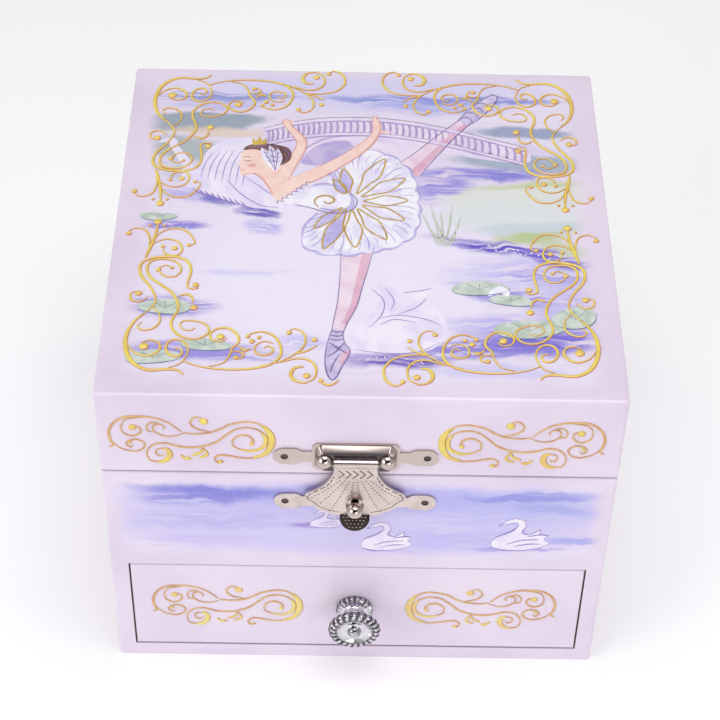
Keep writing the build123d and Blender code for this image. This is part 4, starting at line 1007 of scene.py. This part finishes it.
def painted_dancer():
    raised = [(11.0, 19.0, 7.2), (15.0, 24.4, 5.4), (19.0, 30.0, 4.4), (23.0, 35.4, 3.5), (26.6, 39.8, 2.9)]
    left, right = limb("tights", raised, NEAR)
    stroke("line", left[::6] + left[-1:], 0.2, OVER)
    stroke("line", right[::6] + right[-1:], 0.26, OVER)
    limb("tights_shade", [(x + 1.3 * w / 7, y - 1.3 * w / 7, w * 0.34) for x, y, w in raised], NEAR + 0.005)
    raised_shoe = [(25.6, 38.6, 3.4), (28.0, 41.6, 4.2), (30.6, 45.0, 4.0), (32.8, 48.2, 3.2),
                   (34.2, 50.2, 1.6)]
    left, right = limb("shoe", raised_shoe, NEAR + 0.012)
    stroke("line", left[::6] + left[-1:] + right[::-1][::6], 0.3, OVER)
    for share in range(4):
        u, v = 26.6 + share * 1.5, 39.8 + share * 2.0
        stroke("line", [(u - 1.5, v + 1.1), (u + 0.4, v + 1.0), (u + 1.5, v - 0.6)], 0.26, OVER)

    standing = [(-1.2, -9.0, 8.0), (-2.0, -17.0, 6.6), (-2.8, -24.0, 5.4), (-3.6, -30.0, 4.6),
                (-5.2, -36.4, 3.1),
                (-5.7, -39.6, 2.6)]
    left, right = limb("tights", standing, NEAR)
    stroke("line", left[::6] + left[-1:], 0.24, OVER)
    stroke("line", right[::6] + right[-1:], 0.18, OVER)
    limb("tights_shade", [(x + w * 0.32, y, w * 0.3) for x, y, w in standing[:-1]], NEAR + 0.006)
    shape("shoe", [(-7.1, -38.6), (-7.9, -42.6), (-8.4, -47.0), (-8.1, -51.6), (-7.0, -54.4), (-5.8, -53.8),
                   (-4.4, -50.0), (-3.0, -46.6), (-2.8, -44.8), (-4.0, -42.6), (-4.6, -38.8)], NEAR + 0.01)
    shape("tights_shade", [(-4.4, -49.6), (-3.0, -46.4), (-2.9, -45.0), (-4.4, -45.8), (-5.2, -49.0)],
          NEAR + 0.014)
    stroke("line", [(-7.1, -38.6), (-7.9, -42.6), (-8.4, -47.0), (-8.1, -51.6), (-7.0, -54.4), (-5.8, -53.8),
                    (-4.4, -50.0), (-3.0, -46.6), (-2.8, -44.8), (-4.0, -42.6), (-4.6, -38.8)], 0.3, OVER)
    for row in range(3):
        y = -38.8 - row * 1.35
        stroke("line", [(-7.2 - row * 0.1, y), (-5.8, y - 0.4), (-4.3, y)], 0.3, OVER)
    stroke("line", [(-7.6, -42.6), (-5.6, -44.4), (-3.4, -46.2)], 0.36, OVER)
    stroke("line", [(-4.2, -42.8), (-6.0, -45.6), (-8.0, -47.4)], 0.36, OVER)
    stroke("line", [(-7.2, -52.4), (-6.4, -49.2), (-5.2, -46.6)], 0.3, OVER)

    shape("skin", [(-13.6, 12.2), (-16.0, 14.6), (-18.4, 17.6), (-19.4, 21.6), (-22.4, 21.0), (-26.2, 16.9),
                   (-24.8, 14.2), (-23.4, 11.0), (-22.0, 8.0), (-20.4, 5.8), (-17.6, 6.6), (-15.4, 9.6)],
          FIGURE)
    back_arm = [(-20.4, 15.0, 3.4), (-18.0, 21.4, 2.9), (-16.0, 26.8, 2.6), (-15.8, 30.2, 2.4),
                (-17.4, 33.4, 2.0),
                (-19.0, 35.8, 1.7), (-19.7, 37.6, 2.0), (-20.2, 39.0, 0.8)]
    front_arm = [(-18.2, 12.6, 4.0), (-11.4, 17.6, 3.9), (-6.0, 22.0, 3.4), (-1.6, 26.4, 3.0),
                 (1.8, 31.0, 2.3),
                 (3.2, 34.2, 1.8), (3.4, 37.0, 2.0), (2.9, 40.6, 0.8)]
    for arm, height in ((back_arm, FIGURE + 0.006), (front_arm, OVER + 0.014)):
        left, right = limb("skin", arm, height)
        stroke("skin_shade", right[::6] + right[-1:], 0.42, height + 0.01)
        stroke("skin_shade", left[::6] + left[-1:], 0.2, height + 0.01)
    limb("skin", [(3.4, 34.2, 1.3), (5.2, 34.5, 0.9), (7.0, 34.3, 0.5)], FIGURE + 0.008)
    limb("skin", [(-18.9, 36.2, 1.0), (-18.3, 38.0, 0.8), (-18.4, 39.2, 0.4)], FIGURE + 0.008)
    for x, y in ((1.8, 38.0), (2.6, 38.8), (3.4, 39.0)):
        stroke("skin_shade", [(x, y), (x - 0.3, y + 1.8)], 0.2, OVER)
    for x, y in ((-20.6, 37.2), (-19.9, 37.6)):
        stroke("skin_shade", [(x, y), (x - 0.4, y + 1.2)], 0.2, OVER)

    shape("tulle", [(-12.6, 12.6), (-9.0, 13.0), (-4.4, 11.4), (-1.6, 8.0), (-2.2, 4.4), (-5.0, 2.6),
                    (-9.0, 2.8),
                    (-13.4, 4.6), (-16.8, 5.4), (-19.8, 4.8), (-16.8, 8.6), (-14.8, 11.2)], FIGURE + 0.012)
    stroke("line", [(-4.4, 11.4), (-1.6, 8.0), (-2.2, 4.4), (-5.0, 2.6), (-9.0, 2.8), (-13.4, 4.6),
                    (-16.8, 5.4)],
           0.34, OVER)
    stroke("tulle_shade", [(-3.4, 10.2), (-2.5, 7.4), (-3.4, 4.4), (-6.6, 3.4), (-10.6, 4.2)], 1.1,
           FIGURE + 0.018)
    curl = [(-8.9 + (3.4 - 0.28 * k) * cos(-2.2 - 0.7 * k), 7.0 + (2.9 - 0.26 * k) * sin(-2.2 - 0.7 * k))
            for k in range(11)]
    stroke("petal", curl, 0.62, DETAIL)
    for step in range(7):
        x, y = -19.8 + step * 1.15, 5.0 + step * 1.25
        shape("tulle", [(x, y), (x - 1.3, y + 0.7), (x - 1.0, y + 1.7), (x + 0.9, y + 1.4)], OVER)
        stroke("line", [(x - 1.2, y + 0.5), (x - 1.1, y + 1.6), (x + 0.6, y + 1.5)], 0.24, DETAIL)
    stroke("tulle_shade", [(-12.4, 12.9), (-9.2, 13.4), (-6.4, 12.6)], 0.9, OVER)

    shape("skin", [on_head(*point) for point in PROFILE], OVER)
    shape("hair", [on_head(*point) for point in HAIR], OVER + 0.006)
    for points in ([(0.12, 0.90), (0.42, 0.96), (0.70, 0.84)], [(0.26, 1.00), (0.58, 1.02), (0.84, 0.86)],
                   [(0.92, 0.92), (1.04, 0.72), (0.95, 0.50)]):
        stroke("line", [on_head(*point) for point in points], 0.22, DETAIL)
    for ink, points, width in HEAD_LINES:
        stroke(ink, [on_head(*point) for point in points], width, DETAIL)
    oval("skin_shade", on_head(0.27, 0.33), (1.0, 0.65), 0.0, OVER + 0.004)
    stroke("skin_shade", [on_head(0.10, 0.0), on_head(0.32, 0.06), (-25.2, 15.2), (-23.6, 12.4),
                          (-22.2, 9.0)], 0.4,
           OVER + 0.006)
    for lean in (-0.34, 0.0, 0.34):
        tip = (-23.4 + 7.2 * sin(lean) * 0.8, 28.0 - abs(lean) * 3)
        foot = (-21.9, 18.2)
        mid = ((tip[0] + foot[0]) / 2, (tip[1] + foot[1]) / 2)
        shape("tulle", [foot, (mid[0] - 1.25, mid[1] - 0.4), (tip[0] - 0.5, tip[1] - 0.8), tip,
                        (mid[0] + 1.35, mid[1] + 0.4)], DETAIL + abs(lean) * 0.01)
        stroke("line", [foot, mid, tip], 0.22, DETAIL + 0.02)
        for share in (0.35, 0.55, 0.75):
            u = foot[0] + (tip[0] - foot[0]) * share
            v = foot[1] + (tip[1] - foot[1]) * share
            stroke("line", [(u, v), (u - 1.0, v + 1.1)], 0.16, DETAIL + 0.02)
            stroke("line", [(u, v), (u + 1.0, v + 1.0)], 0.16, DETAIL + 0.02)
    on_lid("petal").fill([(-28.0, 28.2), (-28.2, 31.0), (-27.1, 29.9), (-26.4, 31.9), (-25.7, 29.9),
                          (-24.6, 31.1),
                          (-24.6, 28.6)], DETAIL + 0.02)


bridge()
wading_swans()
water_plants()
painted_tutu()
painted_dancer()


# ---------------------------------------------------------------- the swans on the front

SWAN = [(2.2, 8.0), (3.2, 9.4), (5.0, 10.2), (6.9, 9.6), (7.4, 7.6), (6.7, 5.6), (8.2, 4.8), (10.6, 6.6),
        (10.4, 5.2), (12.4, 4.8), (11.4, 3.4), (12.8, 2.2), (10.6, 0.6), (7.0, -0.4), (3.0, -0.5), (0.6, 0.4),
        (0.0, 2.2), (1.4, 4.2), (4.2, 6.0), (5.7, 7.6), (5.4, 8.8), (4.3, 8.6), (3.4, 8.2)]
SWAN_LINES = [[(3.4, 1.6), (6.5, 3.0), (10.5, 3.4)], [(5.0, 0.9), (8.0, 1.8), (11.0, 1.9)],
              [(0.6, 0.5), (3.6, -0.3), (8.0, -0.3)], [(1.5, 4.1), (4.3, 5.9), (5.7, 7.6)],
              [(7.3, 7.4), (6.7, 5.6), (8.2, 4.8)], [(7.8, 4.2), (10.2, 4.9), (12.2, 4.7)]]


def front_swans():
    white = Layer("front_swans", "front", "case", INK["swan"])
    lines = Layer("front_swan_lines", "front", "case", INK["swan_line"])
    for x, z, size in ((0.4, 42.6, 1.0), (31.6, 43.4, 1.12), (-11.6, 50.6, 0.62)):
        outline = [(x + u * size, z + v * size) for u, v in SWAN]
        white.fill([p[:2] for p in curve(outline, 4, closed=True)], 0.02)
        lines.line([(u, v, 0.17 * size) for u, v in outline], 0.03, 0.05, sides=4, closed=True)
        for points in SWAN_LINES:
            placed = [(x + u * size, z + v * size) for u, v in points]
            lines.line(tapered(placed, 0.34 * size), 0.03, 0.05, sides=4)
        beak = [(x + 2.3 * size, z + 8.1 * size), (x + 1.5 * size, z + 7.7 * size)]
        lines.line(tapered(beak, 0.4), 0.03, 0.05, sides=4)


front_swans()


# ---------------------------------------------------------------- pressed pattern on the latch

def flap_pattern():
    """Chevrons across the neck, dotted ribs that fan down from it, and a dashed line inside the rim."""
    # The pattern is in dark nickel: painted shade for the shade in its pressing.
    layer = Layer("latch_flap_pattern", "flap", "latch_flap", FINISH["dark_nickel_and_shade"])
    for step in range(5):
        x = LATCH_X - 3.9 + step * 1.65
        layer.line([(x, 72.5, 0.3), (x + 1.25, 71.2, 0.4), (x, 69.9, 0.3)], 0.05, sides=5)
    fan_z = 73.0
    half = [(5.0, 70.2), (6.6, 67.2), (10.6, 64.1), (11.0, 62.6), (9.6, 61.3), (8.4, 59.9), (6.4, 58.8),
            (3.8, 58.0)]
    for side in (1, -1):
        rim = curve([(LATCH_X + side * u, v) for u, v in half], 8)
        for index in range(0, len(rim) - 2, 3):
            layer.line([rim[index] + (0.26,), rim[index + 1] + (0.3,), rim[index + 2] + (0.26,)], 0.05,
                       sides=5)
        for angle, first in ((6, 4.6), (19, 4.6), (31, 4.8), (42, 5.4), (52, 6.4)):
            for step in range(13):
                reach = first + step * 0.9
                u = reach * sin(radians(angle)) * (1 + 0.012 * step)
                v = fan_z - reach * cos(radians(angle))
                if u < flap_half_width(v) - 1.5 and hypot(u, v - STUD_Z) > 3.1:
                    layer.bead(LATCH_X + side * u, v, 0.19, 0.05, around=8, rings=2)


def flap_half_width(z):
    """How wide the flap is, either side of its middle, at a height."""
    rows = [(57.0, 3.4), (58.2, 6.8), (59.2, 9.0), (61.0, 10.2), (62.5, 11.75), (64.4, 11.4), (67.5, 7.2),
            (71.9, 5.0)]
    for (low, narrow), (high, wide) in zip(rows, rows[1:]):
        if low <= z <= high:
            return narrow + (wide - narrow) * (z - low) / (high - low)
    return 5.0 if z > 71.9 else 0.0


def darken_tab():
    """The bent finger tab is painted dark: painted shade and a painted reflection of the dark below it."""
    tab_top = FLAP_FOOT_Z * MM
    mesh = frame["nodes"]["latch_flap"].data
    mesh.materials.append(FINISH["dark_nickel_and_shade"])
    for polygon in mesh.polygons:
        if polygon.center.z < tab_top:
            polygon.material_index = 1
    layer = Layer("latch_tab_dots", "tab", "latch_flap", FINISH["nickel"])
    for row in range(4):
        v = 0.75 + row * 0.78
        for column in range(-3, 4):
            u = column * 0.86 + (row % 2) * 0.43
            if hypot(u / 3.1, (v - 0.6) / 2.9) < 1:
                layer.bead(LATCH_X + u, v, 0.17, 0.08, around=8, rings=2)


flap_pattern()
darken_tab()


# ---------------------------------------------------------------- solid shapes

def grid(name, rows, material, body, wrap_rows=False, caps=True):
    """A surface through rings of points: each row is one closed ring, and caps close both ends."""
    around = len(rows[0])
    verts = [tuple(value * MM for value in point) for row in rows for point in row]
    polys = []
    for r in range(len(rows) if wrap_rows else len(rows) - 1):
        here, there = r * around, (r + 1) % len(rows) * around
        for k in range(around):
            after = (k + 1) % around
            polys.append([here + k, here + after, there + after, there + k])
    if caps and not wrap_rows:
        polys.append(list(range(around - 1, -1, -1)))
        polys.append([(len(rows) - 1) * around + k for k in range(around)])
    return build(name, verts, polys, material, body)


def tube_rows(points, sides=16, start=(1, 0, 0)):
    """Rings along a path of (x, y, z, radius, radius) points."""
    rows = []
    side = Vector(start)
    for index, point in enumerate(points):
        before, after = Vector(points[max(index - 1, 0)][:3]), Vector(points[min(index + 1,
                                                                                 len(points) - 1)][:3])
        along = (after - before).normalized()
        side = (side - along * side.dot(along)).normalized()
        other = along.cross(side)
        ring = []
        for k in range(sides):
            angle = 2 * pi * k / sides
            across = Vector(point[:3]) + side * cos(angle) * point[3]
            ring.append(tuple(across + other * sin(angle) * point[4]))
        rows.append(ring)
    return rows


def rounded(points, steps=6):
    """A smooth path through (x, y, z, radius, radius) points with round ends."""
    path = curve(points, steps)
    ends = []
    for end, inner in ((path[0], path[1]), (path[-1], path[-2])):
        outward = (Vector(end[:3]) - Vector(inner[:3])).normalized()
        dome = []
        for k in range(1, 5):
            angle = pi / 2 * k / 4.2
            place = Vector(end[:3]) + outward * sin(angle) * min(end[3], end[4]) * 0.9
            dome.append(tuple(place) + (end[3] * cos(angle), end[4] * cos(angle)))
        ends.append(dome)
    return ends[0][::-1] + path + ends[1]


def knob():
    """A chrome knob: a fluted collar, a waist, a disc with a twisted rope rim and a domed button."""
    x0, z0 = (KNOB_LOW.x + KNOB_HIGH.x) / 2, (KNOB_LOW.z + KNOB_HIGH.z) / 2
    rows = []
    profile = [(0.0, 3.3, 0.0), (0.0, 4.3, 0.0), (0.5, 4.5, 0.10), (1.2, 4.4, 0.14), (1.7, 3.6, 0.08),
               (2.2, 2.9, 0.0), (3.4, 2.75, 0.0), (4.3, 3.2, 0.0), (5.0, 4.2, 0.0), (5.5, 5.2, 0.0),
               (6.3, 5.9, 0.0),
               (7.0, 5.9, 0.0), (7.7, 5.2, 0.0), (7.9, 4.5, 0.0), (7.5, 3.8, 0.0), (7.1, 3.0, 0.0),
               (7.05, 2.1, 0.0), (7.3, 1.75, 0.0), (8.0, 1.6, 0.0), (8.6, 1.2, 0.0), (8.8, 0.7, 0.0),
               (8.85, 0.2, 0.0)]
    around = 96
    for reach, radius, flute in curve(profile, 4):
        row = []
        for k in range(around):
            angle = 2 * pi * k / around
            size = radius + flute * cos(20 * angle)
            row.append((x0 + size * cos(angle), KNOB_HIGH.y - reach, z0 + size * sin(angle)))
        rows.append(row[::-1])
    body = grid("knob_body", rows, FINISH["chrome"], "drawer")
    rope = []
    around, sides = 220, 24
    for k in range(around):
        theta = 2 * pi * k / around
        row = []
        for s in range(sides):
            phi = 2 * pi * s / sides
            size = 1.05 + 0.2 * cos(phi - 22 * theta)
            reach = 5.2 + size * cos(phi)
            row.append((x0 + reach * cos(theta), KNOB_HIGH.y - 7.0 - size * sin(phi),
                        z0 + reach * sin(theta)))
        rope.append(row)
    rim = grid("knob_rope_rim", rope, FINISH["chrome"], "drawer", wrap_rows=True)
    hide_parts("drawer_knob")
    return body, rim


def ring_rolls():
    """Three stuffed velvet rolls side by side in the tray."""
    low, high = (Vector(corner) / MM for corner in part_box("ring_rolls"))
    pitch = (high.y - low.y) / 3
    for index in range(3):
        middle = low.y + pitch * (index + 0.5)
        rows = []
        count = 44
        for k in range(count + 1):
            t = k / count
            x = low.x + (high.x - low.x) * t
            end = min(t, 1 - t) * (high.x - low.x) / 4.0
            size = (1 - (1 - min(1.0, end)) ** 2.6) ** 0.5 if end < 1 else 1.0
            size = max(size, 0.05)
            row = []
            for s in range(28):
                angle = 2 * pi * s / 28
                pucker = 1 + 0.012 * sin(k * 1.7 + s * 0.9 + index) + 0.01 * sin(k * 0.6 + index * 2)
                y = middle + cos(angle) * pitch * 0.5 * size * pucker * 0.995
                z = (low.z + high.z) / 2 + sin(angle) * (high.z - low.z) / 2 * size * min(pucker, 1.0)
                row.append((x, y, z))
            rows.append(row)
        roll = grid(f"ring_roll_{index + 1}", rows, FINISH["velvet"], "case")
        if index == 0:
            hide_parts("ring_rolls")


# ---------------------------------------------------------------- the dancer

FOOT_Y = 0.0
FIGURE_Z = 67.0


def figure(x, forward, height):
    """A point on the dancer: she lies face down along -Y while the lid is shut."""
    return (x, FOOT_Y - height, FIGURE_Z - forward)


def figure_part(name, points, material, sides=18, steps=6):
    path = [figure(x, f, h) + (ra, rb) for x, f, h, ra, rb in points]
    return grid(name, tube_rows(rounded(path, steps), sides), material, "dancer")


def dancer():
    skin = moulded("figure_skin", (244, 214, 200), 0.45)
    tights = moulded("figure_tights", (246, 230, 238), 0.5)
    hair = moulded("figure_hair", (96, 66, 58), 0.5)
    bodice = moulded("figure_bodice", (214, 196, 236), 0.3)
    shoe = moulded("figure_shoes", (238, 188, 206), 0.35)
    ink = moulded("figure_face_ink", (84, 58, 60), 0.5)
    lips = moulded("figure_lips", (214, 122, 128), 0.4)
    gold = FINISH["gold_front"]

    torso = figure_part("dancer_torso", [
        (0, 0, 17.4, 1.7, 1.5), (0, 0, 19.0, 2.1, 1.7), (0, 0, 21.2, 1.5, 1.2), (0, 0.15, 23.4, 2.1, 1.6),
        (0, 0.1, 25.0, 2.3, 1.5)], bodice)
    figure_part("dancer_chest", [
        (0, 0.0, 24.6, 2.25, 1.35), (0, 0.0, 25.8, 2.1, 1.1), (0, 0.0, 26.6, 1.2, 0.95),
                                 (0, 0.05, 27.6, 0.8, 0.8),
        (0, 0.1, 29.2, 0.78, 0.78)], skin)
    figure_part("dancer_standing_leg", [
        (0, 0, 2.6, 0.62, 0.7), (0, -0.1, 5.4, 0.85, 0.95), (0, -0.2, 8.0, 1.05, 1.15),
                                        (0, 0.0, 11.0, 0.85, 0.9),
        (0, 0.1, 14.0, 1.15, 1.2), (0, 0, 18.0, 1.55, 1.45)], tights)
    figure_part("dancer_pointe_shoe", [
        (0, 0, 0.0, 0.75, 0.75), (0, 0.1, 0.9, 0.8, 0.85), (0, 0.05, 2.0, 0.72, 0.95),
                                       (0, 0, 3.1, 0.68, 0.78)], shoe)
    figure_part("dancer_raised_leg", [
        (0.9, 0.1, 17.4, 1.35, 1.3), (2.6, 0.9, 15.2, 1.15, 1.15), (3.5, 1.2, 13.4, 0.9, 0.9),
        (2.4, 1.1, 11.2, 0.9, 0.85), (1.2, 1.0, 9.4, 0.6, 0.6)], tights)
    figure_part("dancer_raised_shoe", [
        (1.4, 1.0, 9.8, 0.6, 0.62), (0.8, 1.1, 8.6, 0.62, 0.6), (0.2, 1.2, 7.4, 0.4, 0.4)], shoe)
    for side in (-1, 1):
        name = "left" if side < 0 else "right"
        figure_part(f"dancer_{name}_arm", [
            (side * 2.0, 0.0, 25.4, 0.62, 0.62), (side * 3.2, 0.3, 26.6, 0.6, 0.6),
                                           (side * 3.75, 0.6, 29.0, 0.5, 0.5),
            (side * 3.5, 0.9, 31.8, 0.48, 0.48), (side * 2.4, 1.0, 34.4, 0.38, 0.38),
            (side * 1.3, 1.0, 35.6, 0.42, 0.26), (side * 0.5, 1.0, 36.1, 0.22, 0.16)], skin, sides=14)
        figure_part(f"dancer_{name}_strap", [
            (side * 1.3, 1.05, 24.8, 0.16, 0.16), (side * 1.55, 0.75, 26.0, 0.16, 0.16),
            (side * 1.5, -0.3, 26.2, 0.16, 0.16), (side * 1.3, -1.1, 25.0, 0.16, 0.16)], bodice, sides=8)
        figure_part(f"dancer_{name}_eye", [
            (side * 0.45, 2.02, 30.95, 0.05, 0.05), (side * 0.85, 1.93, 30.78, 0.07, 0.06),
            (side * 1.25, 1.66, 30.95, 0.05, 0.05)], ink, sides=6)
        figure_part(f"dancer_{name}_brow", [
            (side * 0.45, 1.98, 31.5, 0.04, 0.04), (side * 0.85, 1.86, 31.68, 0.05, 0.05),
            (side * 1.3, 1.52, 31.55, 0.03, 0.03)], hair, sides=6)

    rows = []
    for k in range(19):
        tilt = pi * k / 18
        row = []
        for s in range(28):
            angle = 2 * pi * s / 28
            x, forward, height = sin(tilt) * cos(angle), sin(tilt) * sin(angle), -cos(tilt)
            jaw = 1.0 - 0.26 * max(0.0, -height) ** 1.6
            nose = 0.32 * max(0.0, 1 - hypot(x / 0.16, (height + 0.12) / 0.24)) if forward > 0 else 0.0
            row.append(figure(1.85 * x * jaw, 0.12 + (2.05 + nose) * forward * jaw, 30.8 + 2.35 * height))
        rows.append(row)
    grid("dancer_head", rows, skin, "dancer")
    rows = []
    for k in range(17):
        tilt = pi * k / 16
        row = []
        for s in range(28):
            angle = 2 * pi * s / 28
            x, forward, height = sin(tilt) * cos(angle), sin(tilt) * sin(angle), -cos(tilt)
            row.append(figure(2.0 * x, -0.34 + 1.98 * forward, 31.25 + 2.25 * height))
        rows.append(row)
    grid("dancer_hair", rows, hair, "dancer")
    figure_part("dancer_bun", [(0, -1.9, 32.2, 0.9, 0.9), (0, -2.5, 32.7, 0.9, 0.9)], hair)
    figure_part("dancer_lips", [(-0.38, 1.93, 29.62, 0.06, 0.06), (0, 2.05, 29.56, 0.1, 0.09),
                                (0.38, 1.93, 29.62, 0.06, 0.06)], lips, sides=8)
    figure_part("dancer_crown", [(-1.5, 0.9, 32.7, 0.12, 0.2), (0, 1.25, 33.2, 0.14, 0.3),
                                 (1.5, 0.9, 32.7, 0.12, 0.2)], gold, sides=8)
    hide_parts("dancer_figure")
    return torso


def tutu(torso):
    """Two gathered rings of net, sewn at the waist."""
    inner, outer, ripples = 1.75, 11.9, 26
    for index, (height, lift) in enumerate(((19.6, 0.55), (18.8, -0.25))):
        material = woven(f"tulle_layer_{index + 1}", (246, 238, 250), (226, 208, 240), 0.5, 0.7, 0.3)
        around, across = 416, 12
        verts = []
        for k in range(around):
            angle = 2 * pi * k / around
            for r in range(across):
                share = r / (across - 1)
                reach = inner + (outer - index * 0.6 - inner) * share
                wave = sin(ripples * angle + index) * 0.5 + 0.25 * sin((ripples + 7) * angle)
                rise = height + lift * share + wave * share ** 1.3 * 0.9
                verts.append(tuple(v * MM for v in figure(reach * cos(angle), reach * sin(angle), rise)))
        polys = []
        for k in range(around):
            after = (k + 1) % around
            for r in range(across - 1):
                polys.append([k * across + r, k * across + r + 1, after * across + r + 1, after * across + r])
        piece = build(f"tutu_layer_{index + 1}", verts, polys, material, "dancer")
        if index == 0:
            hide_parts("dancer_tutu")


def coil_spring():
    """A close steel coil that holds the dancer up, bent through a quarter turn while the lid is shut."""
    turns, wire, coil = 11, 0.32, 1.85
    bend = 6.0
    foot = Vector((0, 6.0, 61.0))
    path = []
    steps = turns * 20
    for k in range(steps + 1):
        t = k / steps
        bow = t * pi / 2
        centre = Vector((0, foot.y - bend + bend * cos(bow), foot.z + bend * sin(bow)))
        outward = Vector((0, cos(bow), sin(bow)))
        turn = 2 * pi * turns * t
        path.append(tuple(centre + outward * cos(turn) * coil + Vector((1, 0,
                                                                        0)) * sin(turn) * coil) + (wire,
                                                                                                   wire))
    spring = grid("coil_spring", tube_rows(path, 8), FINISH["steel"], None)
    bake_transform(spring)
    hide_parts("figure_spring")


knob()
ring_rolls()
tutu(dancer())
coil_spring()


# ---------------------------------------------------------------- stage, light and camera

# Two dark parts of the room, which polished metal reflects: direction, and the shares of it where the
# darkening starts and is full.
DARK_ZONES = [((0.0, -0.71, 0.71), 0.78, 0.92), ((0.0, 0.80, 0.60), 0.70, 0.86)]
ROOM_STRENGTH = 0.62
FLOOR_HALF = 3.0


def stage():
    size = FLOOR_HALF
    card = Shader("floor_card", (0.92, 0.92, 0.92, 1.0), 0.9)
    card.bsdf.inputs["Emission Color"].default_value = (1.0, 1.0, 1.0, 1.0)
    card.bsdf.inputs["Emission Strength"].default_value = 0.12
    floor = build("floor", [(-size, -size, 0), (size, -size, 0), (size, size, 0), (-size, size, 0)],
                  [(0, 1, 2, 3)], card.material)
    world = bpy.data.worlds.new("studio")
    bpy.context.scene.world = world
    world.use_nodes = True
    room = world.node_tree
    coordinates = room.nodes.new("ShaderNodeTexCoord")
    light = None
    for direction, start, full in DARK_ZONES:
        toward = room.nodes.new("ShaderNodeVectorMath")
        toward.operation = "DOT_PRODUCT"
        toward.inputs[1].default_value = direction
        room.links.new(coordinates.outputs["Generated"], toward.inputs[0])
        shade = room.nodes.new("ShaderNodeMapRange")
        shade.interpolation_type = "SMOOTHSTEP"
        for socket, value in (("From Min", start), ("From Max", full), ("To Min", 1.0), ("To Max", 0.03)):
            shade.inputs[socket].default_value = value
        room.links.new(toward.outputs["Value"], shade.inputs["Value"])
        both = room.nodes.new("ShaderNodeMath")
        both.operation = "MULTIPLY"
        room.links.new(shade.outputs["Result"], both.inputs[0])
        both.inputs[1].default_value = 1.0
        if light:
            room.links.new(light, both.inputs[1])
        light = both.outputs[0]
    room.links.new(light, room.nodes["Background"].inputs["Color"])
    world.node_tree.nodes["Background"].inputs["Strength"].default_value = ROOM_STRENGTH

    def area(name, place, target, size_m, watts):
        lamp = bpy.data.lights.new(name, "AREA")
        lamp.shape = "RECTANGLE"
        lamp.size, lamp.size_y = size_m
        lamp.energy = watts
        obj = bpy.data.objects.new(name, lamp)
        obj.location = place
        obj.rotation_euler = (Vector(target) - Vector(place)).to_track_quat("-Z", "Y").to_euler()
        bpy.context.scene.collection.objects.link(obj)

    area("top_softbox", (0.05, -0.10, 0.9), (0, 0, 0.05), (0.7, 0.7), 4.8)
    area("left_softbox", (-0.75, -0.55, 0.45), (0, 0, 0.05), (0.6, 0.6), 2.3)
    area("front_softbox", (0.35, -1.0, 0.30), (0, 0, 0.04), (0.7, 0.5), 1.8)


def camera():
    """The view: a long lens, 45 degrees down on the front, rolled a little clockwise."""
    azimuth, elevation, roll = radians(-0.67), radians(44.92), radians(1.37)
    distance = 0.530
    target = Vector((0.0001, 0.0, 0.0471))
    back = Vector((sin(azimuth) * cos(elevation), -cos(azimuth) * cos(elevation), sin(elevation)))
    lens = bpy.data.cameras.new("view")
    lens.lens = 101.9
    lens.sensor_width = 36.0
    lens.clip_start = 0.01
    obj = bpy.data.objects.new("view", lens)
    right = back.cross(Vector((0, 0, -1))).normalized()
    up = back.cross(right).normalized()
    right, up = right * cos(roll) + up * sin(roll), up * cos(roll) - right * sin(roll)
    rotation = Matrix((right, up, back)).transposed()
    obj.matrix_world = Matrix.Translation(target + back * distance) @ rotation.to_4x4()
    bpy.context.scene.collection.objects.link(obj)
    bpy.context.scene.camera = obj
    bpy.context.scene.view_settings.view_transform = "Standard"


for layer in Layer.all.values():
    printed = build(layer.name, layer.verts, layer.polys, layer.material, layer.body)
    for index in layer.flat:
        printed.data.polygons[index].use_smooth = False
stage()
camera()
